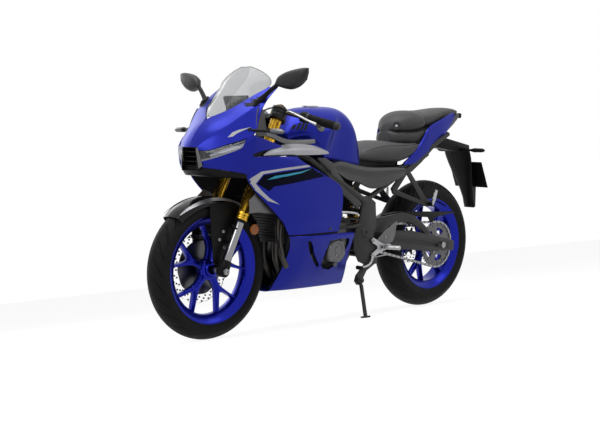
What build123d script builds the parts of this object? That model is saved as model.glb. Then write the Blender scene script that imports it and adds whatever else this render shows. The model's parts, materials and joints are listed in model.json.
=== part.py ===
from build123d import *
import os
from math import acos, atan2, cos, degrees, radians, sin, sqrt, tan

os.makedirs("parts", exist_ok=True)

# A faired sport motorcycle of about 300 cc, leaning on its side stand.
# It is modelled upright in the bike frame and leaned when it is written out.
# Bike frame in mm: X forward, Y left, Z up, rear axle above x = 0, ground at z = 0.

# ---------------------------------------------------------------- driving dimensions
wheelbase = 1380.0
lean_angle = 10.0
rake_angle = 25.0
trail = 95.0
fork_offset = 37.7
fork_half_spacing = 99.0

front_tyre_radius = 293.0
front_tyre_half_width = 55.0
front_tyre_shoulder = 38.0
front_rim_half_width = 41.0
rear_tyre_radius = 314.0
rear_tyre_half_width = 70.0
rear_tyre_shoulder = 48.0
rear_rim_half_width = 57.0
rim_flange_radius = 232.0
bead_radius = 217.0
rim_well_radius = 197.0
flange_thickness = 5.0
tyre_wall = 9.0
spoke_count = 5

seat_gap = 0.3
pin_clearance = 0.05
running_clearance = 0.1

front_axle_radius = 8.0
rear_axle_radius = 10.0
fork_upper_radius = 25.0
fork_lower_radius = 18.5
fork_lug_radius = 24.0
fork_lug_inner = 84.0
fork_lug_outer = 114.0
stem_radius = 15.0
head_tube_radius = 27.0
head_tube_low = 800.0
head_tube_high = 975.0
lower_clamp_low = 760.0
upper_clamp_low = 990.0
clamp_thickness = 22.0
fork_top = 1045.0
gold_low = 540.0

front_disc_radius = 149.0
front_disc_y = -50.0
rear_disc_radius = 110.0
rear_disc_y = -81.0
disc_thickness = 4.0
disc_band = 36.0

chain_line = 90.0
chain_pitch = 15.875
rear_sprocket_teeth = 44
front_sprocket_teeth = 15
sprocket_thickness = 6.4
chain_width = 17.0
chain_half_height = 7.5
chain_gap = 0.6
front_sprocket_x = 648.0
front_sprocket_z = 402.0

pivot_x = 572.0
pivot_z = 392.0
arm_inner = 108.0
arm_outer = 132.0
plate_inner = 134.0
plate_outer = 154.0
frame_tube_radius = 17.0
rail_radius = 12.0
shell_thickness = 4.0

# ---------------------------------------------------------------- derived values
front_axle_x = wheelbase
front_axle_z = front_tyre_radius
rear_axle_z = rear_tyre_radius
steering_foot_x = front_axle_x + trail
rake = radians(rake_angle)
lean = radians(lean_angle)
rear_sprocket_radius = chain_pitch / (2 * sin(radians(180.0 / rear_sprocket_teeth)))
front_sprocket_radius = chain_pitch / (2 * sin(radians(180.0 / front_sprocket_teeth)))


def crown_radius(half_width, shoulder):
    """Radius of the tyre's crown, an arc over its width and its shoulder height."""
    return (half_width**2 + shoulder**2) / (2 * shoulder)


rear_crown = crown_radius(rear_tyre_half_width, rear_tyre_shoulder)
ground_drop = rear_crown * (1 - cos(lean))


def ground_z(y):
    """Height of the floor under the leaning bike, in the bike frame."""
    return y * tan(lean) - ground_drop / cos(lean)


# ---------------------------------------------------------------- construction helpers
def slab(outline, y_from, y_to):
    """A plate: an (x, z) outline between two values of y."""
    low = min(y_from, y_to)
    high = max(y_from, y_to)
    wire = Polyline(*[(x, low, z) for x, z in outline], close=True)
    return extrude(make_face(wire), amount=high - low, dir=(0, 1, 0))


def brick(x_from, x_to, y_from, y_to, z_from, z_to):
    """A box between two corners."""
    outline = [(x_from, z_from), (x_to, z_from), (x_to, z_to), (x_from, z_to)]
    return slab(outline, y_from, y_to)


def drum(x, z, radius, y_from, y_to):
    """A cylinder along Y."""
    low = min(y_from, y_to)
    high = max(y_from, y_to)
    base = Plane(origin=(x, low, z), z_dir=(0, 1, 0))
    return extrude(base * Circle(radius), amount=high - low)


def rod(start, end, radius):
    """A round bar between two points."""
    axis = Vector(*end) - Vector(*start)
    base = Plane(origin=start, z_dir=axis)
    return extrude(base * Circle(radius), amount=axis.length)


def tube(points, radius, bend):
    """A round bar that follows points, with its corners bent to one radius."""
    path = FilletPolyline(*points, radius=bend)
    base = Plane(origin=path @ 0, z_dir=path % 0)
    return sweep(base * Circle(radius), path=path)


def turned(outline, x, z):
    """A ring about an axle along Y at (x, z), from an (r, y) outline."""
    wire = Polyline(*[(x + r, y, z) for r, y in outline], close=True)
    return revolve(make_face(wire), axis=Axis((x, 0, z), (0, 1, 0)))


def skin_loft(sections):
    """A body through flat sections that have as many corners each."""
    return loft([make_face(Polyline(*points, close=True)) for points in sections], ruled=True)


def offset_line(points, depth):
    """An open plan line moved to its left by depth, with mitred corners."""
    moved = []
    for i, (x, y) in enumerate(points):
        before = points[max(i - 1, 0)]
        after = points[min(i + 1, len(points) - 1)]
        normals = []
        for a, b in ((before, (x, y)), ((x, y), after)):
            dx = b[0] - a[0]
            dy = b[1] - a[1]
            length = sqrt(dx * dx + dy * dy)
            if length > 0:
                normals.append((-dy / length, dx / length))
        nx = sum(n[0] for n in normals)
        ny = sum(n[1] for n in normals)
        scale = 2 * depth / (nx * nx + ny * ny) if len(normals) == 2 else depth
        moved.append((x + nx * scale, y + ny * scale))
    return moved


def mirrored(shape, side):
    """The left-hand shape for side 1, its mirror image for side -1."""
    return shape if side > 0 else mirror(shape, about=Plane.XZ)


steering_plane = Plane(
    origin=(steering_foot_x, 0, 0),
    x_dir=(cos(rake), 0, sin(rake)),
    z_dir=(-sin(rake), 0, cos(rake)),
)


def in_steering(shape):
    """Moves a shape from steering coordinates (forward, left, along the axis)."""
    return steering_plane.location * shape


def steering_point(forward, left, along):
    """A point given in steering coordinates, in the bike frame."""
    return tuple(steering_plane.from_local_coords(Vector(forward, left, along)))


def pillar(forward, left, radius, low, high):
    """A cylinder along the steering axis, in steering coordinates."""
    base = Plane(origin=(forward, left, low))
    return extrude(base * Circle(radius), amount=high - low)


# ---------------------------------------------------------------- wheels
def tyre(x, z, radius, half_width, shoulder, rim_half_width):
    """A tyre carcass: a round crown, side walls and beads on the rim seats."""
    bead_y = rim_half_width - flange_thickness - seat_gap
    widest = radius - shoulder
    inner_y = half_width - tyre_wall
    outer_side = [(widest, half_width), (rim_flange_radius + 1, rim_half_width + 2)]
    bead = [(rim_flange_radius + 1, bead_y), (bead_radius + seat_gap, bead_y)]
    toe = [(bead_radius + seat_gap, bead_y - tyre_wall), (widest - 6, inner_y)]

    def at(r, y):
        return (x + r, y, z)

    right = [at(r, y) for r, y in outer_side + bead + toe]
    left = [at(r, -y) for r, y in reversed(outer_side + bead + toe)]
    crown = ThreePointArc(at(widest, -half_width), at(radius, 0), at(widest, half_width))
    cavity = ThreePointArc(
        at(widest - 6, inner_y), at(radius - tyre_wall - 2, 0), at(widest - 6, -inner_y)
    )
    edges = [crown, Polyline(*right), cavity, Polyline(*left)]
    return revolve(make_face(edges), axis=Axis((x, 0, z), (0, 1, 0)))


def rim(x, z, half_width, hub_left, hub_right, hub_radius, bore, spoke_half, first_spoke):
    """A cast wheel: barrel, hub and split spokes."""
    seat_y = half_width - flange_thickness
    barrel = [
        (rim_flange_radius, -half_width),
        (rim_flange_radius, -seat_y),
        (bead_radius, -seat_y),
        (bead_radius - 4, -seat_y + 16),
        (rim_well_radius + 7, -seat_y + 22),
        (rim_well_radius + 7, seat_y - 22),
        (bead_radius - 4, seat_y - 16),
        (bead_radius, seat_y),
        (rim_flange_radius, seat_y),
        (rim_flange_radius, half_width),
        (rim_flange_radius - 8, half_width),
        (rim_well_radius, seat_y - 22),
        (rim_well_radius, -seat_y + 22),
        (rim_flange_radius - 8, -half_width),
    ]
    wheel = turned(barrel, x, z)
    wheel += drum(x, z, hub_radius, hub_right, hub_left)
    # a spoke's outline: (distance from the axle, distance to its side)
    spoke = [
        (20, -21),
        (96, -16),
        (186, -72),
        (197, -56),
        (122, 0),
        (197, 56),
        (186, 72),
        (96, 16),
        (20, 21),
    ]
    for k in range(spoke_count):
        turn = radians(first_spoke + 360.0 * k / spoke_count)
        outline = [
            (x + r * cos(turn) - s * sin(turn), z + r * sin(turn) + s * cos(turn))
            for r, s in spoke
        ]
        wheel += slab(outline, -spoke_half, spoke_half)
    return wheel - drum(x, z, bore, hub_right - 1, hub_left + 1)


def brake_disc(x, z, radius, y, hub_radius, bore, arms):
    """A brake disc on its carrier arms, joined to a ring that seats on the hub."""
    band = radius - disc_band
    outer_face = y - disc_thickness
    disc = drum(x, z, radius, outer_face, y)
    disc -= drum(x, z, band, outer_face - 1, y + 1)
    carrier = drum(x, z, hub_radius, outer_face, y)
    for k in range(arms):
        turn = radians(360.0 * k / arms)
        reach = band + 3
        half = 9
        outline = [
            (x + r * cos(turn) - s * sin(turn), z + r * sin(turn) + s * cos(turn))
            for r, s in ((10, -half), (reach, -half), (reach, half), (10, half))
        ]
        carrier += slab(outline, outer_face, y)
    return disc + carrier - drum(x, z, bore, outer_face - 1, y + 1)


front_hub_left = 48.0
front_hub_right = front_disc_y + seat_gap
rear_hub_left = chain_line - sprocket_thickness / 2 - seat_gap
rear_hub_right = rear_disc_y + seat_gap
hub_radius = 34.0
rear_hub_radius = 44.0
front_bore = front_axle_radius + running_clearance
rear_bore = rear_axle_radius + running_clearance

front_tyre = tyre(
    front_axle_x,
    front_axle_z,
    front_tyre_radius,
    front_tyre_half_width,
    front_tyre_shoulder,
    front_rim_half_width,
)
rear_tyre = tyre(
    0, rear_axle_z, rear_tyre_radius, rear_tyre_half_width, rear_tyre_shoulder, rear_rim_half_width
)
front_rim = rim(
    front_axle_x,
    front_axle_z,
    front_rim_half_width,
    front_hub_left,
    front_hub_right,
    hub_radius,
    front_bore,
    11,
    18,
)
rear_rim = rim(
    0,
    rear_axle_z,
    rear_rim_half_width,
    rear_hub_left,
    rear_hub_right,
    rear_hub_radius,
    rear_bore,
    13,
    54,
)
front_disc = brake_disc(
    front_axle_x, front_axle_z, front_disc_radius, front_disc_y, hub_radius, front_bore, 5
)
rear_disc = brake_disc(0, rear_axle_z, rear_disc_radius, rear_disc_y, 40, rear_bore, 5)


def sprocket():
    """The rear sprocket: a toothed ring on five arms."""
    half = sprocket_thickness / 2
    low = chain_line - half
    high = chain_line + half
    tip = rear_sprocket_radius + 3.0
    root = rear_sprocket_radius - 5.0
    outline = []
    for k in range(rear_sprocket_teeth):
        for step, r in ((0.0, root), (0.3, tip), (0.5, tip), (0.8, root)):
            turn = radians(360.0 * (k + step) / rear_sprocket_teeth)
            outline.append((r * cos(turn), rear_axle_z + r * sin(turn)))
    ring = slab(outline, low, high)
    ring -= drum(0, rear_axle_z, root - 13, low - 1, high + 1)
    carrier = drum(0, rear_axle_z, 56, low, high)
    for k in range(5):
        turn = radians(360.0 * k / 5 + 90)
        reach = root - 11
        arm = [
            (r * cos(turn) - s * sin(turn), rear_axle_z + r * sin(turn) + s * cos(turn))
            for r, s in ((40, -14), (reach, -10), (reach, 10), (40, 14))
        ]
        carrier += slab(arm, low, high)
    return ring + carrier - drum(0, rear_axle_z, rear_bore, low - 1, high + 1)


rear_sprocket = sprocket()


# ---------------------------------------------------------------- chain
def chain_face(offset, y):
    """The area inside the chain's run, with its boundary moved out by offset."""
    front = (front_sprocket_x, front_sprocket_z)
    rear = (0.0, rear_axle_z)
    front_r = front_sprocket_radius + offset
    rear_r = rear_sprocket_radius + offset
    span = sqrt((rear[0] - front[0]) ** 2 + (rear[1] - front[1]) ** 2)
    ex = (rear[0] - front[0]) / span
    ez = (rear[1] - front[1]) / span
    along = (front_r - rear_r) / span
    across = sqrt(1 - along * along)

    def touch(centre, radius, sign):
        nx = ex * along - sign * ez * across
        nz = ez * along + sign * ex * across
        return (centre[0] + nx * radius, y, centre[1] + nz * radius)

    far_rear = (rear[0] + ex * rear_r, y, rear[1] + ez * rear_r)
    far_front = (front[0] - ex * front_r, y, front[1] - ez * front_r)
    edges = [
        Line(touch(front, front_r, 1), touch(rear, rear_r, 1)),
        ThreePointArc(touch(rear, rear_r, 1), far_rear, touch(rear, rear_r, -1)),
        Line(touch(rear, rear_r, -1), touch(front, front_r, -1)),
        ThreePointArc(touch(front, front_r, -1), far_front, touch(front, front_r, 1)),
    ]
    return make_face(edges)


def chain_band(inner, outer, y_low, y_high):
    """A loop between two offsets from the chain's pitch line."""
    height = y_high - y_low
    whole = extrude(chain_face(outer, y_low), amount=height, dir=(0, 1, 0))
    hollow = extrude(chain_face(inner, y_low - 1), amount=height + 2, dir=(0, 1, 0))
    return whole - hollow


groove_half = sprocket_thickness / 2 + chain_gap
chain = chain_band(
    -chain_half_height, chain_half_height, chain_line - chain_width / 2, chain_line + chain_width / 2
)
chain -= chain_band(-chain_half_height - 1, 4.0, chain_line - groove_half, chain_line + groove_half)

# ---------------------------------------------------------------- swing arm
# (x, z) outlines, front to rear along the top and back along the bottom
arm_outline = [
    (600, 410),
    (374, 405),
    (231, 397),
    (75, 366),
    (-94, 329),
    (-90, 281),
    (114, 292),
    (274, 309),
    (409, 323),
    (600, 366),
]
brace_outline = [
    (500, 404),
    (495, 464),
    (413, 474),
    (290, 486),
    (214, 469),
    (131, 417),
    (83, 372),
    (118, 371),
    (172, 408),
    (246, 440),
    (330, 440),
    (395, 428),
    (420, 402),
]
swingarm = drum(pivot_x, pivot_z, 24, -arm_outer, arm_outer)
swingarm += slab([(445, 357), (540, 360), (540, 412), (445, 408)], -arm_outer, arm_outer)
for side in (1, -1):
    swingarm += slab(arm_outline, side * arm_inner, side * arm_outer)
swingarm += slab(brace_outline, arm_inner, arm_outer - 4)
swingarm -= drum(0, rear_axle_z, rear_axle_radius + pin_clearance, -arm_outer - 1, arm_outer + 1)
pivot_bolt_radius = 8.0
swingarm -= drum(pivot_x, pivot_z, pivot_bolt_radius + pin_clearance, -arm_outer - 1, arm_outer + 1)
# paddock-stand studs
stud_x = 40.0
stud_z = 316.0
stud_radius = 10.0
stud_length = 16.0
for side in (1, -1):
    swingarm += drum(stud_x, stud_z, stud_radius, side * (arm_outer - 5), side * (arm_outer + stud_length))

rear_axle = drum(0, rear_axle_z, rear_axle_radius, -arm_outer - 12, arm_outer + 12)
rear_axle += drum(0, rear_axle_z, 15, arm_outer + seat_gap, arm_outer + 10)
rear_axle += drum(0, rear_axle_z, 15, -arm_outer - 10, -arm_outer - seat_gap)
rear_axle += drum(
    0, rear_axle_z, 16, chain_line + sprocket_thickness / 2 + 1, arm_inner - seat_gap
)
rear_axle += drum(0, rear_axle_z, 16, -arm_inner + seat_gap, rear_disc_y - disc_thickness - 1)

rear_caliper = brick(48, 112, -arm_inner + seat_gap, -68, 362, 404)
rear_caliper -= drum(0, rear_axle_z, rear_disc_radius + 3, rear_disc_y - disc_thickness - 2, rear_disc_y + 2)

# chain guard over the top run, on a tab from the arm
guard_outline = [
    (400, 478),
    (300, 489),
    (-133, 470),
    (-133, 466),
    (-60, 458),
    (10, 452),
    (48, 425),
    (58, 425),
    (80, 452),
    (300, 470),
    (395, 466),
]
chain_guard = slab(guard_outline, 99.5, 101.5)
chain_guard += slab([(400, 478), (300, 489), (-133, 470), (-133, 467), (300, 486), (400, 475)], 76, 101.5)
chain_guard += brick(330, 370, 101.5, arm_inner - seat_gap, 450, 470)

# ---------------------------------------------------------------- frame
head_x = steering_foot_x - sin(rake) * (head_tube_low + head_tube_high) / 2
head_z = cos(rake) * (head_tube_low + head_tube_high) / 2
pivot_plate = [
    (612, 560),
    (600, 575),
    (565, 575),
    (520, 545),
    (512, 440),
    (530, 392),
    (512, 330),
    (500, 262),
    (575, 262),
    (612, 330),
    (618, 400),
    (600, 470),
]
stand_bracket = [(500, 262), (575, 262), (628, 215), (636, 190), (620, 172), (598, 176), (560, 232)]
main_frame = in_steering(pillar(0, 0, head_tube_radius, head_tube_low, head_tube_high))
for side in (1, -1):
    path = [
        (head_x + 5, 0, head_z + 5),
        (head_x - 50, side * 60, head_z - 12),
        (930, side * 132, 742),
        (586, side * 144, 552),
    ]
    main_frame += tube(path, frame_tube_radius, 60)
    main_frame += slab(pivot_plate, side * plate_inner, side * plate_outer)
main_frame += drum(590, 505, 14, -plate_inner - 1, plate_inner + 1)
main_frame += drum(540, 300, 12, -plate_inner - 1, plate_inner + 1)
main_frame += drum(pivot_x, pivot_z, pivot_bolt_radius, -plate_outer - 6, plate_outer + 6)
main_frame -= in_steering(
    pillar(0, 0, stem_radius + running_clearance, head_tube_low - 1, head_tube_high + 1)
)

# side stand: pivot, where its foot stands, and which way its leg points when folded
stand_pivot = Vector(616.0, 156.0, 197.0)
stand_foot = Vector(666.0, 238.0, ground_z(238.0))
stand_folded = Vector(-1.0, 0.0, 0.12)
stand_axis = (stand_foot - stand_pivot).cross(stand_folded).normalized()
stand_head_half = 6.0
stand_pin_radius = 6.0


def on_stand_axis(radius, low, high):
    """A cylinder on the stand's pivot axis, between two distances from the pivot."""
    base = Plane(origin=stand_pivot + stand_axis * low, z_dir=stand_axis)
    return extrude(base * Circle(radius), amount=high - low)


main_frame += slab(stand_bracket, plate_inner, plate_inner + 7)
main_frame += on_stand_axis(20, -stand_head_half - seat_gap - 10, -stand_head_half - seat_gap)
main_frame += on_stand_axis(stand_pin_radius, -stand_head_half - 8, stand_head_half + 5)
main_frame += on_stand_axis(10, stand_head_half + seat_gap, stand_head_half + 5)

rail_half = 112.0
side_cover_inner = 137.0
pillion_bracket = [
    (262, 696),
    (312, 672),
    (378, 600),
    (368, 586),
    (300, 590),
    (175, 518),
    (150, 520),
    (150, 545),
]
rail_link = [(330, 650), (390, 628), (390, 700), (330, 700)]
subframe = drum(300, 700, rail_radius, -rail_half, rail_half)
subframe += drum(110, 762, rail_radius, -rail_half, rail_half)
subframe += drum(585, 690, rail_radius, -rail_half, rail_half)
for side in (1, -1):
    subframe += rod((545, side * 124, 560), (110, side * rail_half, 762), rail_radius)
    upper = [(600, side * rail_half, 690), (300, side * rail_half, 700), (-120, side * 55, 858)]
    subframe += tube(upper, rail_radius, 120)
    subframe += slab(rail_link, side * (rail_half - 6), side * (rail_half + 22))
    subframe += slab(pillion_bracket, side * 120, side * 128)
    subframe += rod((163, side * 128, 530), (158, side * 215, 560), 9)
    subframe += drum(480, 694, 8, side * rail_half, side * (side_cover_inner - seat_gap))
subframe -= main_frame

# ---------------------------------------------------------------- engine, cooling and exhaust
cover_x = 797.0
cover_z = 342.0
cover_radius = 48.0
cover_face = 184.0
crankcase = [(604, 300), (640, 250), (930, 250), (950, 300), (950, 470), (700, 480), (604, 470)]
engine = slab(crankcase, -78, 76)
case_half = 145.0
case_profile = [
    (-case_half, 460),
    (case_half, 460),
    (case_half, 330),
    (95, 250),
    (-95, 250),
    (-case_half, 330),
]
case_face = make_face(Polyline(*[(704, y, z) for y, z in case_profile], close=True))
engine += extrude(case_face, amount=226, dir=(1, 0, 0))
engine += slab([(760, 455), (940, 455), (985, 640), (810, 662)], -112, 112)
engine += drum(cover_x, cover_z, cover_radius, -cover_face, cover_face)
engine += drum(front_sprocket_x, front_sprocket_z, 26, 70, 78)
engine += drum(front_sprocket_x, front_sprocket_z, 15, 70, chain_line + sprocket_thickness / 2)
engine += drum(front_sprocket_x, front_sprocket_z, front_sprocket_radius - 5,
               chain_line - sprocket_thickness / 2, chain_line + sprocket_thickness / 2)
engine += brick(620, 710, 106, 132, 330, 455)
engine += brick(606, 640, -30, 30, 465, 505 - 14 - seat_gap)

radiator_x = 1054.0
radiator_depth = 26.0
radiator_half = 135.0
radiator = brick(radiator_x, radiator_x + radiator_depth, -radiator_half, radiator_half, 390, 610)
for side in (1, -1):
    radiator += brick(980, radiator_x, side * 60, side * 76, 596, 610)

header_radius = 19.0
collector_z = 208.0
exhaust = None
for side in (1, -1):
    path = [
        (972, side * 42, 590),
        (1031, side * 42, 560),
        (1031, side * 42, 320),
        (985, side * 38, collector_z),
        (860, side * 20, collector_z),
    ]
    header = tube(path, header_radius, 42)
    exhaust = header if exhaust is None else exhaust + header
exhaust += rod((868, 0, collector_z), (740, 0, collector_z), 27)
exhaust += tube(
    [
        (745, 0, collector_z),
        (690, -14, collector_z),
        (600, -105, collector_z),
        (500, -150, collector_z),
        (425, -186, 270),
        (380, -190, 292),
    ],
    22,
    30,
)
silencer_start = (392.0, -190.0, 288.0)
silencer_end = (30.0, -200.0, 420.0)
exhaust += rod(silencer_start, silencer_end, 46)
exhaust -= engine

# ---------------------------------------------------------------- fuel tank and cap
# x of each section, then (y, z) from the top centre down the left side
tank_sections = [
    (1012, [(0, 858), (50, 854), (74, 840), (74, 822), (56, 806), (0, 806)]),
    (948, [(0, 938), (62, 930), (112, 888), (124, 846), (96, 800), (0, 800)]),
    (915, [(0, 958), (78, 946), (136, 894), (148, 850), (124, 784), (0, 784)]),
    (800, [(0, 970), (88, 956), (150, 908), (156, 860), (122, 752), (0, 752)]),
    (680, [(0, 970), (62, 958), (118, 925), (128, 880), (112, 726), (0, 726)]),
    (622, [(0, 918), (56, 914), (106, 900), (116, 868), (104, 722), (0, 722)]),
    (572, [(0, 802), (42, 800), (80, 796), (92, 780), (96, 720), (0, 720)]),
]


def closed_section(x, half):
    """A closed section in a plane across the bike, from its left half."""
    right = [(-y, z) for y, z in reversed(half[1:-1])]
    return [(x, y, z) for y, z in half + right]


fuel_tank = skin_loft([closed_section(x, half) for x, half in tank_sections])
cap_x = 800.0
cap_radius = 36.0
cap_seat_z = 966.0
cap_thickness = 12.0
cap_top = cap_seat_z + cap_thickness
filler_radius = 24.0
filler_depth = 70.0
fuel_tank -= extrude(Plane(origin=(cap_x, 0, cap_seat_z)) * Circle(cap_radius + 6), amount=40)
fuel_tank -= extrude(Plane(origin=(cap_x, 0, cap_seat_z)) * Circle(filler_radius), amount=-filler_depth)
fuel_tank -= main_frame
fuel_cap = extrude(Plane(origin=(cap_x, 0, cap_seat_z + seat_gap)) * Circle(cap_radius), amount=cap_thickness)

# ---------------------------------------------------------------- upper cowl
# z of each section, then (x from the front axle, y) from the front centre to the left rear edge
cowl_sections = [
    (676, [(90, 0), (82, 48), (45, 112), (-14, 166), (-40, 185)]),
    (750, [(112, 0), (106, 50), (72, 104), (8, 194), (-38, 214)]),
    (800, [(100, 0), (92, 50), (48, 122), (-6, 206), (-56, 228)]),
    (850, [(76, 0), (69, 50), (24, 122), (-30, 200), (-70, 226)]),
    (915, [(6, 0), (-1, 46), (-34, 116), (-64, 188), (-86, 214)]),
    (957, [(-49, 44), (-53, 76), (-66, 116), (-80, 176), (-100, 206)]),
    (1000, [(-106, 90), (-114, 110), (-124, 132), (-136, 166), (-154, 192)]),
    (1045, [(-166, 136), (-174, 146), (-183, 157), (-196, 171), (-214, 183)]),
]


def ahead(points):
    """Pairs whose first value is x from the front axle, moved into the bike frame."""
    return [(front_axle_x + x, other) for x, other in points]


def cowl_half(depth_out, depth_in, low=None, high=None):
    """The left half of the cowl's wall between two depths below its surface."""
    sections = []
    for z, line in cowl_sections:
        if (low is not None and z < low) or (high is not None and z > high):
            continue
        seam = line[0][1] == 0
        outer = offset_line(ahead(reversed(line)), depth_out)
        inner = offset_line(ahead(reversed(line)), depth_in)
        if seam:
            outer[-1] = (outer[-1][0], 0.0)
            inner[-1] = (inner[-1][0], 0.0)
        points = outer + list(reversed(inner))
        sections.append([(x, y, z) for x, y in points])
    return skin_loft(sections)


light_slit = ahead([(91, 748), (81, 774), (-19, 837), (-14, 822), (12, 794)])
duct_half_width = 50.0
duct_low = 700.0
duct_high = 797.0
cowl_left = cowl_half(0, -shell_thickness)
slit_cutter = slab(light_slit, 60, 260)
cowl_left -= slit_cutter
upper_cowl = cowl_left + mirror(cowl_left, about=Plane.XZ)
upper_cowl -= brick(
    front_axle_x, front_axle_x + 120, -duct_half_width, duct_half_width, duct_low, duct_high
)


def grown(outline, amount):
    """A closed outline moved outwards by amount, or inwards where it is negative."""
    area = 0.0
    count = len(outline)
    for i, (x, z) in enumerate(outline):
        nx, nz = outline[(i + 1) % count]
        area += x * nz - nx * z
    sign = 1 if area > 0 else -1
    ring = [outline[-1]] + list(outline) + [outline[0]]
    moved = offset_line(ring, -amount * sign)
    return moved[1:-1]


def largest(shape):
    """The biggest solid of a cut shape."""
    return shape.solids().sort_by(SortBy.VOLUME)[-1]


light_depth = 30.0
lens_outline = grown(light_slit, -0.4)
headlight_left = cowl_half(-1.0, -light_depth) & slab(lens_outline, 60, 260)
duct_wall = 3.0
duct_back = front_axle_x + 20
duct_front = front_axle_x + 98
duct_inner = duct_half_width - seat_gap - duct_wall
nose_duct = brick(
    duct_back, duct_front, -duct_half_width + seat_gap, duct_half_width - seat_gap,
    duct_low + seat_gap, duct_high - seat_gap,
)
nose_duct -= brick(
    duct_back + duct_wall, duct_front + 1, -duct_inner, duct_inner,
    duct_low + seat_gap + duct_wall, duct_high - seat_gap - duct_wall,
)
duct_bars = 4
for k in range(1, duct_bars + 1):
    bar_z = duct_low + k * (duct_high - duct_low) / (duct_bars + 1) - 2
    nose_duct += brick(duct_front - 24, duct_front - 14, -duct_inner - 1, duct_inner + 1, bar_z, bar_z + 4)
tray_edge = [(75, 38), (42, 98), (-18, 154), (-38, 168)]
tray = ahead(tray_edge + [(x, -y) for x, y in reversed(tray_edge)])
tray_z = duct_low - 16
tray_face = make_face(Polyline(*[(x, y, tray_z) for x, y in tray], close=True))
nose_duct += extrude(tray_face, amount=4)
nose_duct += brick(duct_back, duct_back + 4, -40, 40, tray_z + 3, duct_low + 2)

# ---------------------------------------------------------------- windscreen
# z of each section, then (x from the front axle, y) from the centre to the left edge
screen_sections = [
    (921, [(0, 0), (-1, 4), (-4, 8)]),
    (957, [(-33, 0), (-37, 24), (-47, 42)]),
    (1000, [(-71, 0), (-78, 50), (-104, 88)]),
    (1045, [(-114, 0), (-124, 76), (-163, 133)]),
    (1072, [(-140, 0), (-151, 88), (-190, 150)]),
    (1104, [(-172, 0), (-182, 72), (-214, 128)]),
    (1130, [(-200, 0), (-202, 26), (-208, 52)]),
]
screen_wall = 3.0


def screen_section(z, half):
    """A closed, thin section of the screen at one height."""
    line = [(x, -y) for x, y in reversed(half[1:])] + half
    inner = offset_line(line, screen_wall)
    return [(x, y, z) for x, y in line + list(reversed(inner))]


windscreen = skin_loft([screen_section(z, ahead(half)) for z, half in screen_sections])
windscreen -= upper_cowl
windscreen = largest(windscreen)

# ---------------------------------------------------------------- instruments and cowl stay
instrument_panel = slab(ahead([(-182, 930), (-166, 924), (-136, 1006), (-152, 1012)]), -75, 75)
cowl_stay = slab(ahead([(-272, 806), (-256, 842), (-62, 884), (-50, 858)]), -20, 20)
cowl_stay -= in_steering(pillar(0, 0, head_tube_radius + seat_gap, head_tube_low, head_tube_high))
cross_bar = drum(front_axle_x - 54, 868, 9, -240, 240) - upper_cowl
cowl_stay += cross_bar.solids().sort_by(SortBy.VOLUME)[-1]
cowl_stay += slab(ahead([(-84, 872), (-46, 872), (-134, 984), (-160, 960)]), -16, 16)
duct_arm = [(-80, 862), (-40, 862), (16, 790), (16, 702), (0, 702), (0, 780)]
cowl_stay += slab(ahead(duct_arm), -14, 14)
cowl_stay -= instrument_panel
cowl_stay -= windscreen
cowl_stay -= nose_duct

# ---------------------------------------------------------------- mirrors and front signals
# y of each section, then centre x from the front axle, centre z, half thickness and half height
mirror_sections = [
    (254, -150, 1062, 13, 15),
    (284, -156, 1070, 21, 30),
    (336, -164, 1084, 25, 35),
    (386, -170, 1098, 19, 22),
    (404, -173, 1104, 8, 9),
]


def lozenges(start_x, rows):
    """A body through eight-cornered sections across the Y axis, with x counted from start_x."""
    ring = [(1, 0.4), (0.4, 1), (-0.4, 1), (-1, 0.4), (-1, -0.4), (-0.4, -1), (0.4, -1), (1, -0.4)]
    sections = []
    for y, x, z, half_x, half_z in rows:
        sections.append([(start_x + x + half_x * a, y, z + half_z * b) for a, b in ring])
    return skin_loft(sections)


mirror_shell = lozenges(front_axle_x, mirror_sections)
mirror_stalk = rod((front_axle_x - 124, 168, 985), (front_axle_x - 156, 284, 1064), 8)
mirror_foot = rod((front_axle_x - 122, 165, 980), (front_axle_x - 130, 190, 998), 15)
mirror_left = largest(mirror_shell + mirror_stalk + mirror_foot - cowl_half(0, -60))
signal_sections = [
    (262, -96, 865, 7, 6),
    (285, -96, 865, 15, 11),
    (330, -97, 864, 14, 10),
    (346, -98, 863, 6, 5),
]
signal_body = lozenges(front_axle_x, signal_sections)
signal_stalk = rod((front_axle_x - 54, 200, 868), (front_axle_x - 96, 266, 865), 6)
front_signal = largest(signal_body + signal_stalk - cowl_half(0, -shell_thickness))

# ---------------------------------------------------------------- side fairings and lower cowls
# z of each section, then (x, y) from the front edge to the rear edge
side_sections = [
    (430, [(1098, 197), (1018, 208), (900, 206), (800, 198)]),
    (484, [(1130, 195), (1050, 210), (920, 212), (797, 203)]),
    (551, [(1200, 185), (1080, 212), (930, 215), (789, 205)]),
    (612, [(1280, 180), (1150, 212), (970, 216), (791, 206)]),
    (676, [(1335, 184), (1210, 216), (1070, 221), (900, 213)]),
    (700, [(1335, 190), (1220, 220), (1080, 222), (950, 215)]),
    (759, [(1335, 211), (1250, 222), (1165, 222), (1079, 215)]),
]
trim_sections = [
    (759.3, [(1336, 207), (1200, 216), (1000, 205), (840, 182)]),
    (785, [(1270, 205), (1180, 208), (1000, 198), (832, 176)]),
    (803, [(1180, 196), (1100, 200), (1000, 192), (860, 176)]),
]
low_sections = [
    (175, [(1084, 52), (960, 70), (800, 75), (650, 70)]),
    (230, [(1060, 80), (960, 110), (820, 118), (666, 105)]),
    (300, [(1049, 112), (960, 150), (840, 158), (690, 140)]),
    (370, [(1057, 160), (980, 192), (850, 192), (702, 178)]),
    (429.7, [(1098, 196), (1018, 207), (850, 204), (700, 190)]),
]
cover_opening = [
    (868, 397),
    (868, 290),
    (845, 268),
    (800, 260),
    (760, 280),
    (740, 318),
    (726, 372),
    (738, 397),
]
cowl_slot = [(1000, 400), (984, 399), (940, 346), (876, 284), (882, 277), (952, 332)]


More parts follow.
